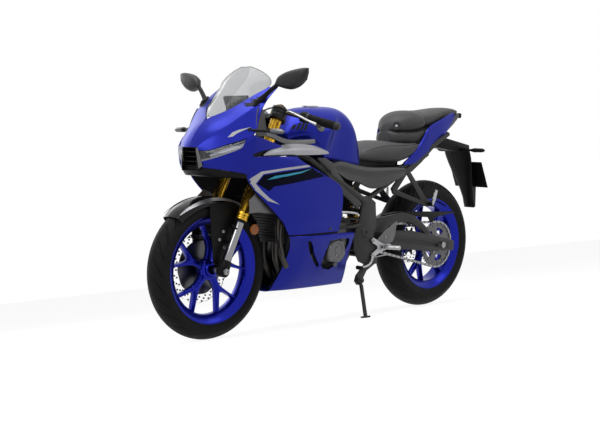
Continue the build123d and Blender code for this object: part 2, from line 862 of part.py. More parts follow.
def panel(sections, depth_out, depth_in):
    """A left-hand panel between two depths below its outer surface."""
    rings = []
    for z, line in sections:
        outer = offset_line(line, depth_out)
        inner = offset_line(line, depth_in)
        rings.append([(x, y, z) for x, y in outer + list(reversed(inner))])
    return skin_loft(rings)


side_fairing = panel(side_sections, 0, shell_thickness)
side_trim = panel(trim_sections, 0, shell_thickness)
lower_cowl = panel(low_sections, 0, shell_thickness)
belly_z, belly_line = low_sections[0]
belly = [(belly_line[0][0], 0)] + belly_line + [(belly_line[-1][0], 0)]
belly_face = make_face(Polyline(*[(x, y, belly_z) for x, y in belly], close=True))
lower_cowl += extrude(belly_face, amount=-shell_thickness)
lower_cowl -= slab(cover_opening, 60, 230)
lower_cowl -= slab(cowl_slot, 60, 230)

# stays that carry the fairings, from the radiator and the engine out to the panels
stay_radius = 8.0
stay_reach = 230.0
# x, z and inner end of each stay
stay_rows = [
    (radiator_x + radiator_depth / 2, 566, radiator_half + seat_gap),
    (860, 446, case_half + seat_gap),
    (930, 410, case_half + seat_gap),
]
fairing_stays = []
for x, z, y_inner in stay_rows:
    stay = drum(x, z, stay_radius, y_inner, stay_reach) - side_fairing - lower_cowl
    stay = stay.solids().sort_by(Axis.Y)[0]
    fairing_stays += [stay, mirror(stay, about=Plane.XZ)]

# ---------------------------------------------------------------- seats and tail
seat_sections = [
    (592, [(0, 768), (40, 766), (62, 756), (62, 744), (40, 738), (0, 738)]),
    (520, [(0, 806), (60, 802), (98, 778), (100, 742), (80, 724), (0, 724)]),
    (430, [(0, 822), (70, 816), (122, 788), (128, 744), (100, 724), (0, 724)]),
    (330, [(0, 812), (80, 808), (132, 788), (136, 752), (104, 724), (0, 724)]),
    (230, [(0, 812), (80, 808), (130, 800), (132, 776), (100, 730), (0, 730)]),
    (176, [(0, 820), (70, 818), (118, 808), (118, 792), (90, 764), (0, 764)]),
]
core_sections = [
    (334, [(0, 872), (60, 870), (84, 852), (96, 824), (70, 806), (0, 806)]),
    (180, [(0, 884), (80, 880), (108, 858), (112, 830), (90, 790), (0, 790)]),
    (40, [(0, 905), (70, 900), (96, 880), (96, 840), (60, 800), (0, 800)]),
    (-120, [(0, 940), (50, 936), (72, 924), (72, 890), (50, 858), (0, 858)]),
    (-235, [(0, 968), (30, 966), (40, 960), (40, 948), (30, 940), (0, 938)]),
]
pillion_sections = [
    (338, [(0, 905), (50, 903), (72, 896), (80, 882), (70, 868), (0, 868)]),
    (250, [(0, 958), (60, 952), (96, 915), (104, 886), (84, 868), (0, 868)]),
    (150, [(0, 966), (70, 958), (112, 930), (116, 900), (90, 870), (0, 870)]),
    (60, [(0, 970), (64, 962), (98, 940), (100, 915), (80, 890), (0, 890)]),
    (-60, [(0, 986), (48, 982), (72, 966), (74, 944), (50, 910), (0, 910)]),
    (-214, [(0, 984), (30, 982), (38, 976), (38, 970), (30, 950), (0, 950)]),
]


def across(sections):
    """A symmetrical body through sections across the bike."""
    return skin_loft([closed_section(x, half) for x, half in sections])


rider_seat = across(seat_sections) - fuel_tank - subframe
tail_core = across(core_sections) - rider_seat - subframe
pillion_seat = across(pillion_sections) - tail_core
# x of each section, outer y, lowest z and highest z
tail_side_sections = [
    (292, 128, 712, 728),
    (220, 125, 712, 764),
    (146, 121, 748, 806),
    (101, 116, 768, 893),
    (0, 106, 824, 924),
    (-41, 100, 850, 937),
    (-111, 86, 906, 958),
    (-138, 80, 938, 966),
]
tail_wall = 5.0
tail_rings = []
for x, y, low, high in tail_side_sections:
    tail_rings.append([(x, y, low), (x, y - 6, high), (x, y - 6 - tail_wall, high), (x, y - tail_wall, low)])
tail_side = skin_loft(tail_rings) - tail_core - pillion_seat - rider_seat - subframe
tail_side = largest(tail_side)
tail_light = slab([(-235.3, 940), (-235.3, 966), (-252, 962), (-248, 940)], -38, 38)
fender_outline = [
    (-14, 800),
    (-14, 822),
    (-60, 840),
    (-150, 836),
    (-332, 802),
    (-338, 716),
    (-398, 583),
    (-398, 480),
    (-382, 474),
    (-345, 590),
    (-300, 690),
    (-270, 766),
    (-60, 792),
]
rear_fender = slab(fender_outline, -32, 32) - tail_core - subframe
plate_half = 105.0
number_plate = slab([(-338.3, 716), (-340.3, 716), (-400.3, 583), (-398.3, 583)], -plate_half, plate_half)
rear_signal_sections = [
    (66, -300, 777, 6, 6),
    (90, -300, 777, 14, 11),
    (135, -300, 777, 13, 10),
    (150, -300, 777, 5, 5),
]
rear_signal = lozenges(0, rear_signal_sections)
rear_signal += rod((-300, 32 + seat_gap, 777), (-300, 70, 777), 6)
side_cover_outline = [
    (800, 745),
    (745, 742),
    (560, 718),
    (300, 714),
    (296, 706),
    (372, 668),
    (508, 606),
    (605, 648),
    (675, 652),
    (760, 700),
]
side_cover = slab(side_cover_outline, side_cover_inner, side_cover_inner + 10)
shock_absorber = rod((492, 0, 424), (574, 0, 664), 26)
shock_absorber += rod((486, 0, 408), (580, 0, 686), 12)
shock_absorber -= swingarm
shock_absorber -= subframe
shock_absorber = largest(shock_absorber)

# ---------------------------------------------------------------- footrests
heel_guard = [(387, 454), (470, 412), (521, 372), (463, 346), (414, 362), (396, 392)]
rest_bracket = [
    (562, 372),
    (548, 384),
    (500, 362),
    (470, 352),
    (430, 348),
    (430, 330),
    (478, 322),
    (500, 318),
    (548, 296),
    (562, 304),
    (528, 340),
]
rest_face = plate_outer + seat_gap
footrest_left = slab(rest_bracket, rest_face, rest_face + 8)
footrest_left += slab(heel_guard, rest_face + 3, rest_face + 7)
footrest_left += rod((470, rest_face + 6, 338), (440, 240, 337), 10)
footrest_left += tube([(548, rest_face + 6, 306), (572, 172, 262), (655, 172, 258)], 5, 12)
footrest_left += drum(655, 258, 6, 168, 200)

# ---------------------------------------------------------------- steering assembly
clamp_bore = fork_upper_radius + pin_clearance


def clamp(low, arm_front, arm_back):
    """A yoke that grips both fork tubes, in steering coordinates."""
    plate = Box(arm_front - arm_back, 2 * fork_half_spacing, clamp_thickness)
    yoke = Pos((arm_front + arm_back) / 2, 0, low + clamp_thickness / 2) * plate
    for side in (1, -1):
        yoke += pillar(fork_offset, side * fork_half_spacing, 35, low, low + clamp_thickness)
    yoke += pillar(0, 0, 30, low, low + clamp_thickness)
    for side in (1, -1):
        yoke -= pillar(fork_offset, side * fork_half_spacing, clamp_bore, low - 1, low + clamp_thickness + 1)
    return yoke


lower_yoke = clamp(lower_clamp_low, 58, -18)
lower_yoke += pillar(0, 0, stem_radius, lower_clamp_low, upper_clamp_low + clamp_thickness + 4)
lower_yoke += pillar(0, 0, 24, lower_clamp_low + clamp_thickness - 1, head_tube_low - seat_gap)
lower_yoke += pillar(0, 0, 22, head_tube_high + seat_gap, upper_clamp_low - seat_gap)
lower_clamp = in_steering(lower_yoke)
upper_clamp = in_steering(
    clamp(upper_clamp_low, 52, -14)
    - pillar(
        0, 0, stem_radius + pin_clearance, upper_clamp_low - 1, upper_clamp_low + clamp_thickness + 1
    )
)
axle_along = (front_axle_z * cos(rake)) + (steering_foot_x - front_axle_x) * sin(rake)


def fork(side):
    """One fork leg: gold upper tube, chrome lower tube and axle lug."""
    v = side * fork_half_spacing
    leg = pillar(fork_offset, v, fork_upper_radius, gold_low, fork_top)
    leg += pillar(fork_offset, v, fork_upper_radius + 2, gold_low - 8, gold_low + 12)
    leg += pillar(fork_offset, v, fork_lower_radius, axle_along + 20, gold_low)
    leg += pillar(fork_offset, v, 21, axle_along + 18, axle_along + 44)
    leg = in_steering(leg)
    leg += drum(front_axle_x, front_axle_z, fork_lug_radius, side * fork_lug_inner, side * fork_lug_outer)
    bore = front_axle_radius + pin_clearance
    return leg - drum(front_axle_x, front_axle_z, bore, side * 60, side * 130)


fork_left = fork(1)
fork_right = fork(-1)
caliper_inner = front_disc_y + 19
caliper_outer = front_disc_y - 40


def around_front_axle(r, angle):
    """An (x, z) point at a radius and an angle from the front axle."""
    return (front_axle_x + r * cos(radians(angle)), front_axle_z + r * sin(radians(angle)))


caliper_outline = [around_front_axle(94, a) for a in (168, 150, 133)]
caliper_outline += [around_front_axle(167, a) for a in (133, 142, 151, 160, 168)]
front_caliper = slab(caliper_outline, caliper_outer, caliper_inner)
front_caliper -= drum(
    front_axle_x, front_axle_z, front_disc_radius + 3, front_disc_y - disc_thickness - 2, front_disc_y + 2
)
bracket_corners = ((60, 118), (127, 115), (149, 132), (134, 150), (88, 155))
caliper_bracket = [around_front_axle(r, a) for r, a in bracket_corners]
fork_right += slab(caliper_bracket, caliper_outer - seat_gap, caliper_outer - 9)

front_axle = drum(front_axle_x, front_axle_z, front_axle_radius, -fork_lug_outer - 8, fork_lug_outer + 8)
for side in (1, -1):
    face = fork_lug_outer + seat_gap
    front_axle += drum(front_axle_x, front_axle_z, 13, side * face, side * (face + 8))
front_axle += drum(front_axle_x, front_axle_z, 13, front_hub_left + 1, fork_lug_inner - seat_gap)
front_axle += drum(
    front_axle_x, front_axle_z, 13, front_disc_y - disc_thickness - 1, -fork_lug_inner + seat_gap
)

# front fender: an arched cover with a guard plate beside each leg
fender_gap = 7.0
fender_radius = front_tyre_radius + fender_gap
fender_start = 49.0
fender_sweep = 92.0
fender_profile = [
    (fender_radius + 3, 0),
    (fender_radius + 1, 40),
    (fender_radius - 5, 58),
    (fender_radius - 30, 66),
    (fender_radius - 30, 63),
    (fender_radius - 7, 55),
    (fender_radius - 2, 38),
    (fender_radius, 0),
    (fender_radius - 2, -38),
    (fender_radius - 7, -55),
    (fender_radius - 30, -63),
    (fender_radius - 30, -66),
    (fender_radius - 5, -58),
    (fender_radius + 1, -40),
]
start = radians(fender_start)
fender_points = [
    (front_axle_x + r * cos(start), y, front_axle_z + r * sin(start)) for r, y in fender_profile
]
fender_face = make_face(Polyline(*fender_points, close=True))
fender_axis = Axis((front_axle_x, 0, front_axle_z), (0, -1, 0))
front_fender = revolve(fender_face, axis=fender_axis, revolution_arc=fender_sweep)
guard_plate = ahead([(44, 566), (-118, 556), (-112, 520), (-28, 322), (18, 308), (36, 520)])
for side in (1, -1):
    front_fender += slab(guard_plate, side * 63, side * 66)
    for along in (430, 500):
        x, y, z = steering_point(fork_offset, 0, along)
        front_fender += drum(x, z, 8, side * 64, side * 90)
front_fender -= fork_left
front_fender -= fork_right

bar_radius = 11.0
grip_radius = 16.5
bar_start = Vector(fork_offset, fork_half_spacing + 29, 1027)
bar_end = Vector(-70, 365, 1009)
lever_points = [(66, 186, 1011), (44, 240, 1001), (-8, 322, 979)]


def bar_point(left):
    """The point of the left bar at a distance to the left, in steering coordinates."""
    share = (left - bar_start.Y) / (bar_end.Y - bar_start.Y)
    return bar_start + (bar_end - bar_start) * share


def handlebar():
    """The left clip-on: clamp ring, bar, grip, switch pod, perch and lever."""
    ring = pillar(fork_offset, fork_half_spacing, 35, 1013, 1041)
    ring -= pillar(fork_offset, fork_half_spacing, clamp_bore, 1012, 1042)
    bar = rod(bar_start, bar_end, bar_radius)
    grip = rod(bar_point(238), bar_point(356), grip_radius)
    pod = rod(bar_point(204), bar_point(236), 20)
    perch = rod(bar_point(190), lever_points[0], 9)
    lever = tube(lever_points, 5, 40)
    return in_steering(ring + bar + grip + pod + perch + lever)


handlebar_left = handlebar()

# ---------------------------------------------------------------- side stand
stand_direction = (stand_foot - stand_pivot).normalized()
floor_normal = Vector(0, -sin(lean), cos(lean))
side_stand = on_stand_axis(17, -stand_head_half, stand_head_half)
side_stand += rod(stand_pivot, stand_pivot + stand_direction * 30, stand_head_half - 0.2)
side_stand += rod(stand_pivot + stand_direction * 26, stand_foot + floor_normal * 4, 9)
foot_plane = Plane(origin=stand_foot, z_dir=floor_normal)
side_stand += extrude(foot_plane * Circle(22), amount=7)
side_stand -= extrude(foot_plane * Rectangle(120, 120), amount=-30)
side_stand -= on_stand_axis(stand_pin_radius + running_clearance, -stand_head_half - 5, stand_head_half + 5)

# ---------------------------------------------------------------- writing out
pieces = {
    "main_frame": main_frame,
    "subframe": subframe,
    "engine": engine,
    "radiator": radiator,
    "fairing_stays": Compound(children=fairing_stays),
    "exhaust": exhaust,
    "fuel_tank": fuel_tank,
    "upper_cowl": upper_cowl,
    "nose_duct": nose_duct,
    "cowl_stay": cowl_stay,
    "instrument_panel": instrument_panel,
    "windscreen": windscreen,
    "front_signals": front_signal + mirror(front_signal, about=Plane.XZ),
    "rider_seat": rider_seat,
    "pillion_seat": pillion_seat,
    "tail_core": tail_core,
    "tail_light": tail_light,
    "rear_fender": rear_fender,
    "number_plate": number_plate,
    "rear_signals": rear_signal + mirror(rear_signal, about=Plane.XZ),
    "shock_absorber": shock_absorber,
    "swingarm": swingarm,
    "chain": chain,
    "chain_guard": chain_guard,
    "rear_axle": rear_axle,
    "rear_caliper": rear_caliper,
    "lower_clamp": lower_clamp,
    "upper_clamp": upper_clamp,
    "fork_left": fork_left,
    "fork_right": fork_right,
    "front_axle": front_axle,
    "front_caliper": front_caliper,
    "front_fender": front_fender,
    "front_tyre": front_tyre,
    "front_rim": front_rim,
    "front_disc": front_disc,
    "rear_tyre": rear_tyre,
    "rear_rim": rear_rim,
    "rear_disc": rear_disc,
    "rear_sprocket": rear_sprocket,
    "side_stand": side_stand,
    "fuel_cap": fuel_cap,
}
paired = {
    "headlight": headlight_left,
    "side_fairing": side_fairing,
    "side_trim": side_trim,
    "lower_cowl": lower_cowl,
    "mirror": mirror_left,
    "tail_side": tail_side,
    "side_cover": side_cover,
    "footrest": footrest_left,
    "handlebar": handlebar_left,
}
for name, shape in paired.items():
    pieces[name + "_left"] = shape
    pieces[name + "_right"] = mirror(shape, about=Plane.XZ)


def leaned(shape):
    """Leans a shape to the left about the ground line and lifts it onto the floor."""
    return Pos(0, 0, ground_drop) * (Rot(-lean_angle, 0, 0) * shape)


stored = {name: leaned(shape) for name, shape in pieces.items()}
corners = [shape.bounding_box() for shape in stored.values()]
centre_x = (min(box.min.X for box in corners) + max(box.max.X for box in corners)) / 2
centre_y = (min(box.min.Y for box in corners) + max(box.max.Y for box in corners)) / 2
for name, shape in stored.items():
    export_step(Pos(-centre_x, -centre_y, 0) * shape, f"parts/{name}.step")
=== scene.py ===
import bpy
import bmesh
import json
from math import asin, atan2, cos, hypot, pi, radians, sin, sqrt
from mathutils import Matrix, Vector
from mathutils.bvhtree import BVHTree

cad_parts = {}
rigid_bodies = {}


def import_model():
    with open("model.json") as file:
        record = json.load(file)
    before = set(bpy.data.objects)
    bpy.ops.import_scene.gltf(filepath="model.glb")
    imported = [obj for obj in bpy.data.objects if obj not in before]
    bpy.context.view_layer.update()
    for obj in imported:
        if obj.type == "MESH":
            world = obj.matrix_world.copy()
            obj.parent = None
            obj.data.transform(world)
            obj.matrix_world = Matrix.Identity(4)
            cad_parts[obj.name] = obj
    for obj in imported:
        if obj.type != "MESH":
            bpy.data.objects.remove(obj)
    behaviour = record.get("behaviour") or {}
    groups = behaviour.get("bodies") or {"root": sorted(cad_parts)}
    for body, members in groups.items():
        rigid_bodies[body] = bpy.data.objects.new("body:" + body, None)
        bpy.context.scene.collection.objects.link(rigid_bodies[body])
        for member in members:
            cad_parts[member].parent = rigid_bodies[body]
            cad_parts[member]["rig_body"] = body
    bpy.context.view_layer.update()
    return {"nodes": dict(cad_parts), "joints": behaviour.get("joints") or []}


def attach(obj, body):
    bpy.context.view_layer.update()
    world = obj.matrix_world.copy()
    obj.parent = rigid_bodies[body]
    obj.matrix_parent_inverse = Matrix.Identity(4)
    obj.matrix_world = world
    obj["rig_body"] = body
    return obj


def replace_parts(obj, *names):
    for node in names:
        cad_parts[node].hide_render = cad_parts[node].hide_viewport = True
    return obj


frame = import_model()

# ---------------------------------------------------------------- the bike frame
# Pieces are made in mm with X forward, Y left, Z up, the rear axle over x = 0 and upright,
# and BIKE carries them into the row frame, where the bike leans on its stand.
joints = {j["name"]: j for j in frame["joints"]}
FRONT_X, FRONT_Z, REAR_Z = 1380.0, 293.0, 314.0
AHEAD = Vector((1, 0, 0))
LEFT = Vector(joints["rear_wheel_spin"]["axis"]).normalized()
UP = AHEAD.cross(LEFT)
ORIGIN = Vector(joints["rear_wheel_spin"]["pos_m"]) - UP * (REAR_Z / 1000)
TURN = Matrix((AHEAD, LEFT, UP)).transposed().to_4x4()
BIKE = Matrix.Translation(ORIGIN) @ TURN @ Matrix.Scale(0.001, 4)
UNBIKE = BIKE.inverted()
RAKE = radians(25)
STEM = Vector((-sin(RAKE), 0, cos(RAKE)))
FOOT_X = FRONT_X + 95
SIDES = ((1, "left"), (-1, "right"))


def steer(u, v, w):
    """Steering coordinates (ahead of, left of, and along the stem) in the bike frame."""
    return Vector((FOOT_X + u * cos(RAKE) - w * sin(RAKE), v, u * sin(RAKE) + w * cos(RAKE)))


def steered(points, side=1):
    """Points in steering coordinates, on the left (1) or the right (-1), in the bike frame."""
    return [steer(u, side * v, w) for u, v, w in points]


# ---------------------------------------------------------------- materials
def node(tree, kind, **values):
    n = tree.nodes.new(kind)
    for key, value in values.items():
        if key in n.inputs.keys():
            n.inputs[key].default_value = value
        else:
            setattr(n, key, value)
    return n


def empty_tree(owner, output):
    """The cleared node tree of a material or world, and its output."""
    owner.use_nodes = True
    owner.node_tree.nodes.clear()
    return owner.node_tree, node(owner.node_tree, output)


def material(name, color, rough=0.4, metal=0.0, coat=0.0, vary=0.12, scale=60.0, bump=0.0, fine=900.0,
             tint=None, cells=False, **sockets):
    """A material whose colour, roughness and relief vary over the surface."""
    m = bpy.data.materials.new(name)
    t, out = empty_tree(m, "ShaderNodeOutputMaterial")
    p = node(t, "ShaderNodeBsdfPrincipled", Metallic=metal)
    p.inputs["Coat Weight"].default_value = coat
    p.inputs["Coat Roughness"].default_value = 0.04
    for key, value in sockets.items():
        p.inputs[key.replace("_", " ")].default_value = value
    t.links.new(p.outputs[0], out.inputs[0])
    place = node(t, "ShaderNodeTexCoord")
    big = node(t, "ShaderNodeTexNoise", Scale=scale, Detail=4.0)
    t.links.new(place.outputs["Object"], big.inputs["Vector"])
    mix = node(t, "ShaderNodeMix", data_type="RGBA")
    mix.inputs[6].default_value = (*color, 1)
    mix.inputs[7].default_value = (*(tint or [c * (1 - vary) for c in color]), 1)
    t.links.new(big.outputs["Fac"], mix.inputs[0])
    t.links.new(mix.outputs[2], p.inputs["Base Color"])
    r = node(t, "ShaderNodeMapRange")
    r.inputs["To Min"].default_value = rough * 0.85
    r.inputs["To Max"].default_value = min(1.0, rough * 1.2)
    t.links.new(big.outputs["Fac"], r.inputs["Value"])
    t.links.new(r.outputs[0], p.inputs["Roughness"])
    if bump:
        relief = node(t, "ShaderNodeTexVoronoi" if cells else "ShaderNodeTexNoise", Scale=fine)
        if not cells:
            relief.inputs["Detail"].default_value = 2.0
        t.links.new(place.outputs["Object"], relief.inputs["Vector"])
        b = node(t, "ShaderNodeBump", Strength=bump, Distance=0.0004)
        t.links.new(relief.outputs[0], b.inputs["Height"])
        t.links.new(b.outputs[0], p.inputs["Normal"])
    return m


M = {
    "paint": material("blue_paint", (0.009, 0.016, 0.34), 0.3, 0.45, 0.05, scale=5, tint=(0.008, 0.014, 0.29),
                      bump=0.02, IOR=1.4, Specular_Tint=(0.5, 0.54, 0.9, 1)),
    "wheel": material("wheel_blue", (0.006, 0.012, 0.30), 0.26, 0.8, 0.1, scale=9, bump=0.02, IOR=1.3),
    "silver": material("silver_decal", (0.36, 0.36, 0.38), 0.34, 0.8, 0.1, scale=12, bump=0.02),
    "navy": material("navy_decal", (0.002, 0.003, 0.016), 0.3, 0.0, 0.0, scale=12, bump=0.02, IOR=1.12),
    "cyan": material("cyan_decal", (0.0, 0.56, 0.88), 0.3, 0.0, 0.2, scale=12, bump=0.02),
    "trim": material("trim_grey", (0.20, 0.20, 0.205), 0.38, 0.3, scale=25, bump=0.1, IOR=1.35),
    "grey": material("grey_plastic", (0.058, 0.058, 0.060), 0.46, bump=0.25, scale=25, IOR=1.35),
    "black": material("black_plastic", (0.007, 0.007, 0.008), 0.45, bump=0.3, scale=25, IOR=1.22),
    "gloss": material("gloss_black", (0.004, 0.004, 0.005), 0.12, 0.0, 0.1, scale=10, bump=0.02, IOR=1.28),
    "frame": material("frame_paint", (0.030, 0.030, 0.032), 0.42, 0.15, scale=20, bump=0.2, IOR=1.35),
    "engine": material("engine_alloy", (0.10, 0.10, 0.102), 0.42, 0.7, scale=40, bump=0.35),
    "dark": material("dark_metal", (0.030, 0.030, 0.032), 0.38, 0.7, scale=40, bump=0.2),
    "alloy": material("bare_alloy", (0.42, 0.42, 0.43), 0.30, 0.9, scale=60, bump=0.15),
    "steel": material("steel_parts", (0.30, 0.30, 0.31), 0.28, 1.0, scale=90, bump=0.1),
    "disc": material("disc_steel", (0.10, 0.10, 0.103), 0.32, 1.0, scale=200, bump=0.15),
    "chrome": material("fork_chrome", (0.27, 0.27, 0.28), 0.12, 1.0, scale=30, bump=0.02),
    "gold": material("gold_anodised", (0.62, 0.36, 0.035), 0.24, 1.0, scale=30, bump=0.04),
    "hump": material("hump_plastic", (0.058, 0.058, 0.060), 0.5, bump=0.25, scale=25, IOR=1.4),
    "cover": material("cover_plastic", (0.105, 0.105, 0.107), 0.5, bump=0.25, scale=25, IOR=1.35),
    "seat": material("seat_vinyl", (0.075, 0.075, 0.076), 0.55, bump=0.5, fine=700, scale=18, cells=True,
                     IOR=1.4),
    "rubber": material("soft_rubber", (0.007, 0.007, 0.007), 0.6, bump=0.3, scale=40, IOR=1.22),
    "pipe": material("exhaust_pipe", (0.040, 0.038, 0.036), 0.36, 0.8, scale=14, bump=0.1,
                     tint=(0.065, 0.058, 0.05)),
    "amber": material("amber_lens", (0.55, 0.15, 0.01), 0.3, 0.0, 0.05, scale=80, bump=0.1),
    "red": material("red_lens", (0.3, 0.008, 0.01), 0.15, 0.0, 0.4, scale=80, bump=0.1),
    "lens": material("lamp_lens", (0.62, 0.64, 0.68), 0.06, 0.0, 0.3, scale=60, bump=0.02,
                     Transmission_Weight=0.95, IOR=1.15),
    "lamp": material("lamp_reflector", (0.72, 0.73, 0.75), 0.25, 0.4, 0.1, scale=60, bump=0.05),
    "glass": material("screen_glass", (0.52, 0.53, 0.54), 0.08, 0.0, 0.1, scale=8, vary=0.04, bump=0.01,
                      Transmission_Weight=0.9, IOR=1.12),
    "brushed": material("brushed_shroud", (0.15, 0.15, 0.155), 0.42, 0.6, scale=60, bump=0.3),
    "fins": material("radiator_core", (0.012, 0.012, 0.013), 0.5, 0.5, scale=300, bump=0.4),
}


# ---------------------------------------------------------------- making pieces
def smooth(o, angle):
    for f in o.data.polygons:
        f.use_smooth = True
    o.data.set_sharp_from_angle(angle=radians(angle))
    return o


def face_outwards(me, merge=0):
    """Turns the faces of a mesh outwards, after points closer than merge are made one."""
    bm = bmesh.new()
    bm.from_mesh(me)
    if merge:
        bmesh.ops.remove_doubles(bm, verts=bm.verts, dist=merge)
    bmesh.ops.recalc_face_normals(bm, faces=bm.faces)
    bm.to_mesh(me)
    bm.free()


def finish_piece(name, me, mat, body, angle=35, place=True):
    """A piece of a mesh in mm, carried into the row frame unless it is there, that rides on a body."""
    if place:
        me.transform(BIKE)
    me.materials.clear()
    me.materials.append(M[mat])
    o = bpy.data.objects.new(name, me)
    bpy.context.scene.collection.objects.link(o)
    smooth(o, angle)
    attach(o, body)
    return o


def add(name, verts, faces, mat, body="chassis", angle=35):
    me = bpy.data.meshes.new(name)
    me.from_pydata([tuple(v) for v in verts], [], faces)
    face_outwards(me)
    return finish_piece(name, me, mat, body, angle)


def evaluated_mesh(o):
    bpy.context.view_layer.update()
    return bpy.data.meshes.new_from_object(o.evaluated_get(bpy.context.evaluated_depsgraph_get()))


def applied(o, angle=35):
    """Bakes the modifiers of a piece into its mesh."""
    me = evaluated_mesh(o)
    o.modifiers.clear()
    o.data = me
    return smooth(o, angle)


def bevel(o, width):
    b = o.modifiers.new("edge", "BEVEL")
    b.width = width * 0.001
    b.segments = 2
    b.limit_method = "ANGLE"
    b.angle_limit = radians(30)
    b.use_clamp_overlap = True
    return applied(o)


def joined(name, parts):
    """One piece from several, which ride on one body."""
    bpy.ops.object.select_all(action="DESELECT")
    for o in parts:
        o.select_set(True)
    bpy.context.view_layer.objects.active = parts[0]
    bpy.ops.object.join()
    parts[0].name = name
    return parts[0]


def catmull(points, n):
    """Points on a smooth line through points, n to each run."""
    pts = [Vector(p) for p in points]
    ends = [pts[0] * 2 - pts[1]] + pts + [pts[-1] * 2 - pts[-2]]
    out = []
    for p0, p1, p2, p3 in zip(ends, ends[1:], ends[2:], ends[3:]):
        for s in range(n):
            t = s / n
            out.append(0.5 * ((2 * p1) + (p2 - p0) * t + (2 * p0 - 5 * p1 + 4 * p2 - p3) * t * t
                              + (3 * p1 - p0 - 3 * p2 + p3) * t ** 3))
    return out + [pts[-1]]


def tube(name, points, radius, mat, body="chassis", n=12, steps=8):
    """A round tube, or hose, along a smooth line; radius may be one value or one for each point."""
    line = catmull(points, steps) if len(points) > 2 and steps else [Vector(p) for p in points]
    radii = radius if isinstance(radius, (list, tuple)) else [radius] * len(points)
    verts, faces = [], []
    side = None
    for i, p in enumerate(line):
        d = (line[min(i + 1, len(line) - 1)] - line[max(i - 1, 0)]).normalized()
        side = (side - d * side.dot(d)).normalized() if side else d.orthogonal().normalized()
        other = d.cross(side)
        at = i / max(1, len(line) - 1) * (len(radii) - 1)
        low = min(int(at), len(radii) - 2)
        r = radii[low] + (radii[low + 1] - radii[low]) * (at - low)
        for k in range(n):
            a = 2 * pi * k / n
            verts.append(p + side * r * cos(a) + other * r * sin(a))
    for i in range(len(line) - 1):
        for k in range(n):
            a, b = i * n + k, i * n + (k + 1) % n
            faces.append((a, b, b + n, a + n))
    faces.append(tuple(range(n)))
    faces.append(tuple(range(len(verts) - n, len(verts))))
    return add(name, verts, faces, mat, body, 40)


def lathe(name, profile, mat, centre, axis, n=64, body="chassis", closed=False):
    """A (radius, along) profile turned about an axis through centre."""
    axis = Vector(axis).normalized()
    u = Vector((1, 0, 0)) if abs(axis.y) > 0.99 else axis.orthogonal().normalized()
    w = axis.cross(u)
    k = len(profile)
    verts, faces = [], []
    for i in range(n):
        j = (i + 1) % n
        d = u * cos(2 * pi * i / n) + w * sin(2 * pi * i / n)
        verts += [Vector(centre) + d * r + axis * along for r, along in profile]
        for s in range(k if closed else k - 1):
            e = (s + 1) % k
            faces.append((i * k + s, i * k + e, j * k + e, j * k + s))
    return add(name, verts, faces, mat, body, 30)


def plate(name, outlines, y0, y1, mat, edge=1.0, body="chassis"):
    """A flat plate with real holes: (x, z) outlines between two values of y, with rounded edges."""
    cu = bpy.data.curves.new(name, "CURVE")
    cu.dimensions = "2D"
    cu.fill_mode = "BOTH"
    half = abs(y1 - y0) / 2
    edge = min(edge, half * 0.9)
    cu.extrude = half - edge
    cu.bevel_depth = edge
    cu.bevel_resolution = 1
    cu.offset = -edge
    for outline in outlines:
        s = cu.splines.new("POLY")
        s.points.add(len(outline) - 1)
        for p, (x, z) in zip(s.points, outline):
            p.co = (x, z, 0, 1)
        s.use_cyclic_u = True
    o = bpy.data.objects.new(name + "_curve", cu)
    bpy.context.scene.collection.objects.link(o)
    me = evaluated_mesh(o)
    bpy.data.objects.remove(o)
    me.transform(Matrix.Translation((0, (y0 + y1) / 2, 0)) @ Matrix.Rotation(pi / 2, 4, "X"))
    face_outwards(me, merge=0.01)
    me.name = name
    return finish_piece(name, me, mat, body, 30)


def ring_points(cx, cz, r, n, wave=0.0, waves=0):
    """An (x, z) circle of n points, whose radius may wave."""
    return [(cx + (r + wave * cos(waves * a)) * cos(a), cz + (r + wave * cos(waves * a)) * sin(a))
            for a in [2 * pi * i / n for i in range(n)]]


def mirrored(half, middle=()):
    """A line and its mirror image about zero in the second value, with the middle points between them."""
    return half + list(middle) + [(a, -b) for a, b in reversed(half)]


def bolt(name, at, direction, r=5, h=5, mat="steel", body="chassis"):
    """A socket-head bolt or nut that sits on a surface at a point."""
    prof = [(0.01, h * 0.45), (r * 0.42, h * 0.45), (r * 0.5, h), (r * 0.85, h), (r, h * 0.8), (r, -1)]
    return lathe(name, prof, mat, at, direction, 16, body)


def dress(name, mat, width, others=()):
    """A CAD piece with rounded edges and its own finish; others are (finish, test of a face's middle)."""
    src = frame["nodes"][name]
    me = src.data.copy()
    bm = bmesh.new()
    bm.from_mesh(me)
    bmesh.ops.remove_doubles(bm, verts=bm.verts, dist=2e-6)
    bmesh.ops.dissolve_limit(bm, angle_limit=radians(1.0), verts=bm.verts, edges=bm.edges)
    bm.to_mesh(me)
    bm.free()
    o = finish_piece(name + "_look", me, mat, src["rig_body"], place=False)
    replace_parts(o, name)
    for k, (other, test) in enumerate(others, 1):
        me.materials.append(M[other])
        for f in me.polygons:
            if test(UNBIKE @ f.center):
                f.material_index = k
    return bevel(o, width)


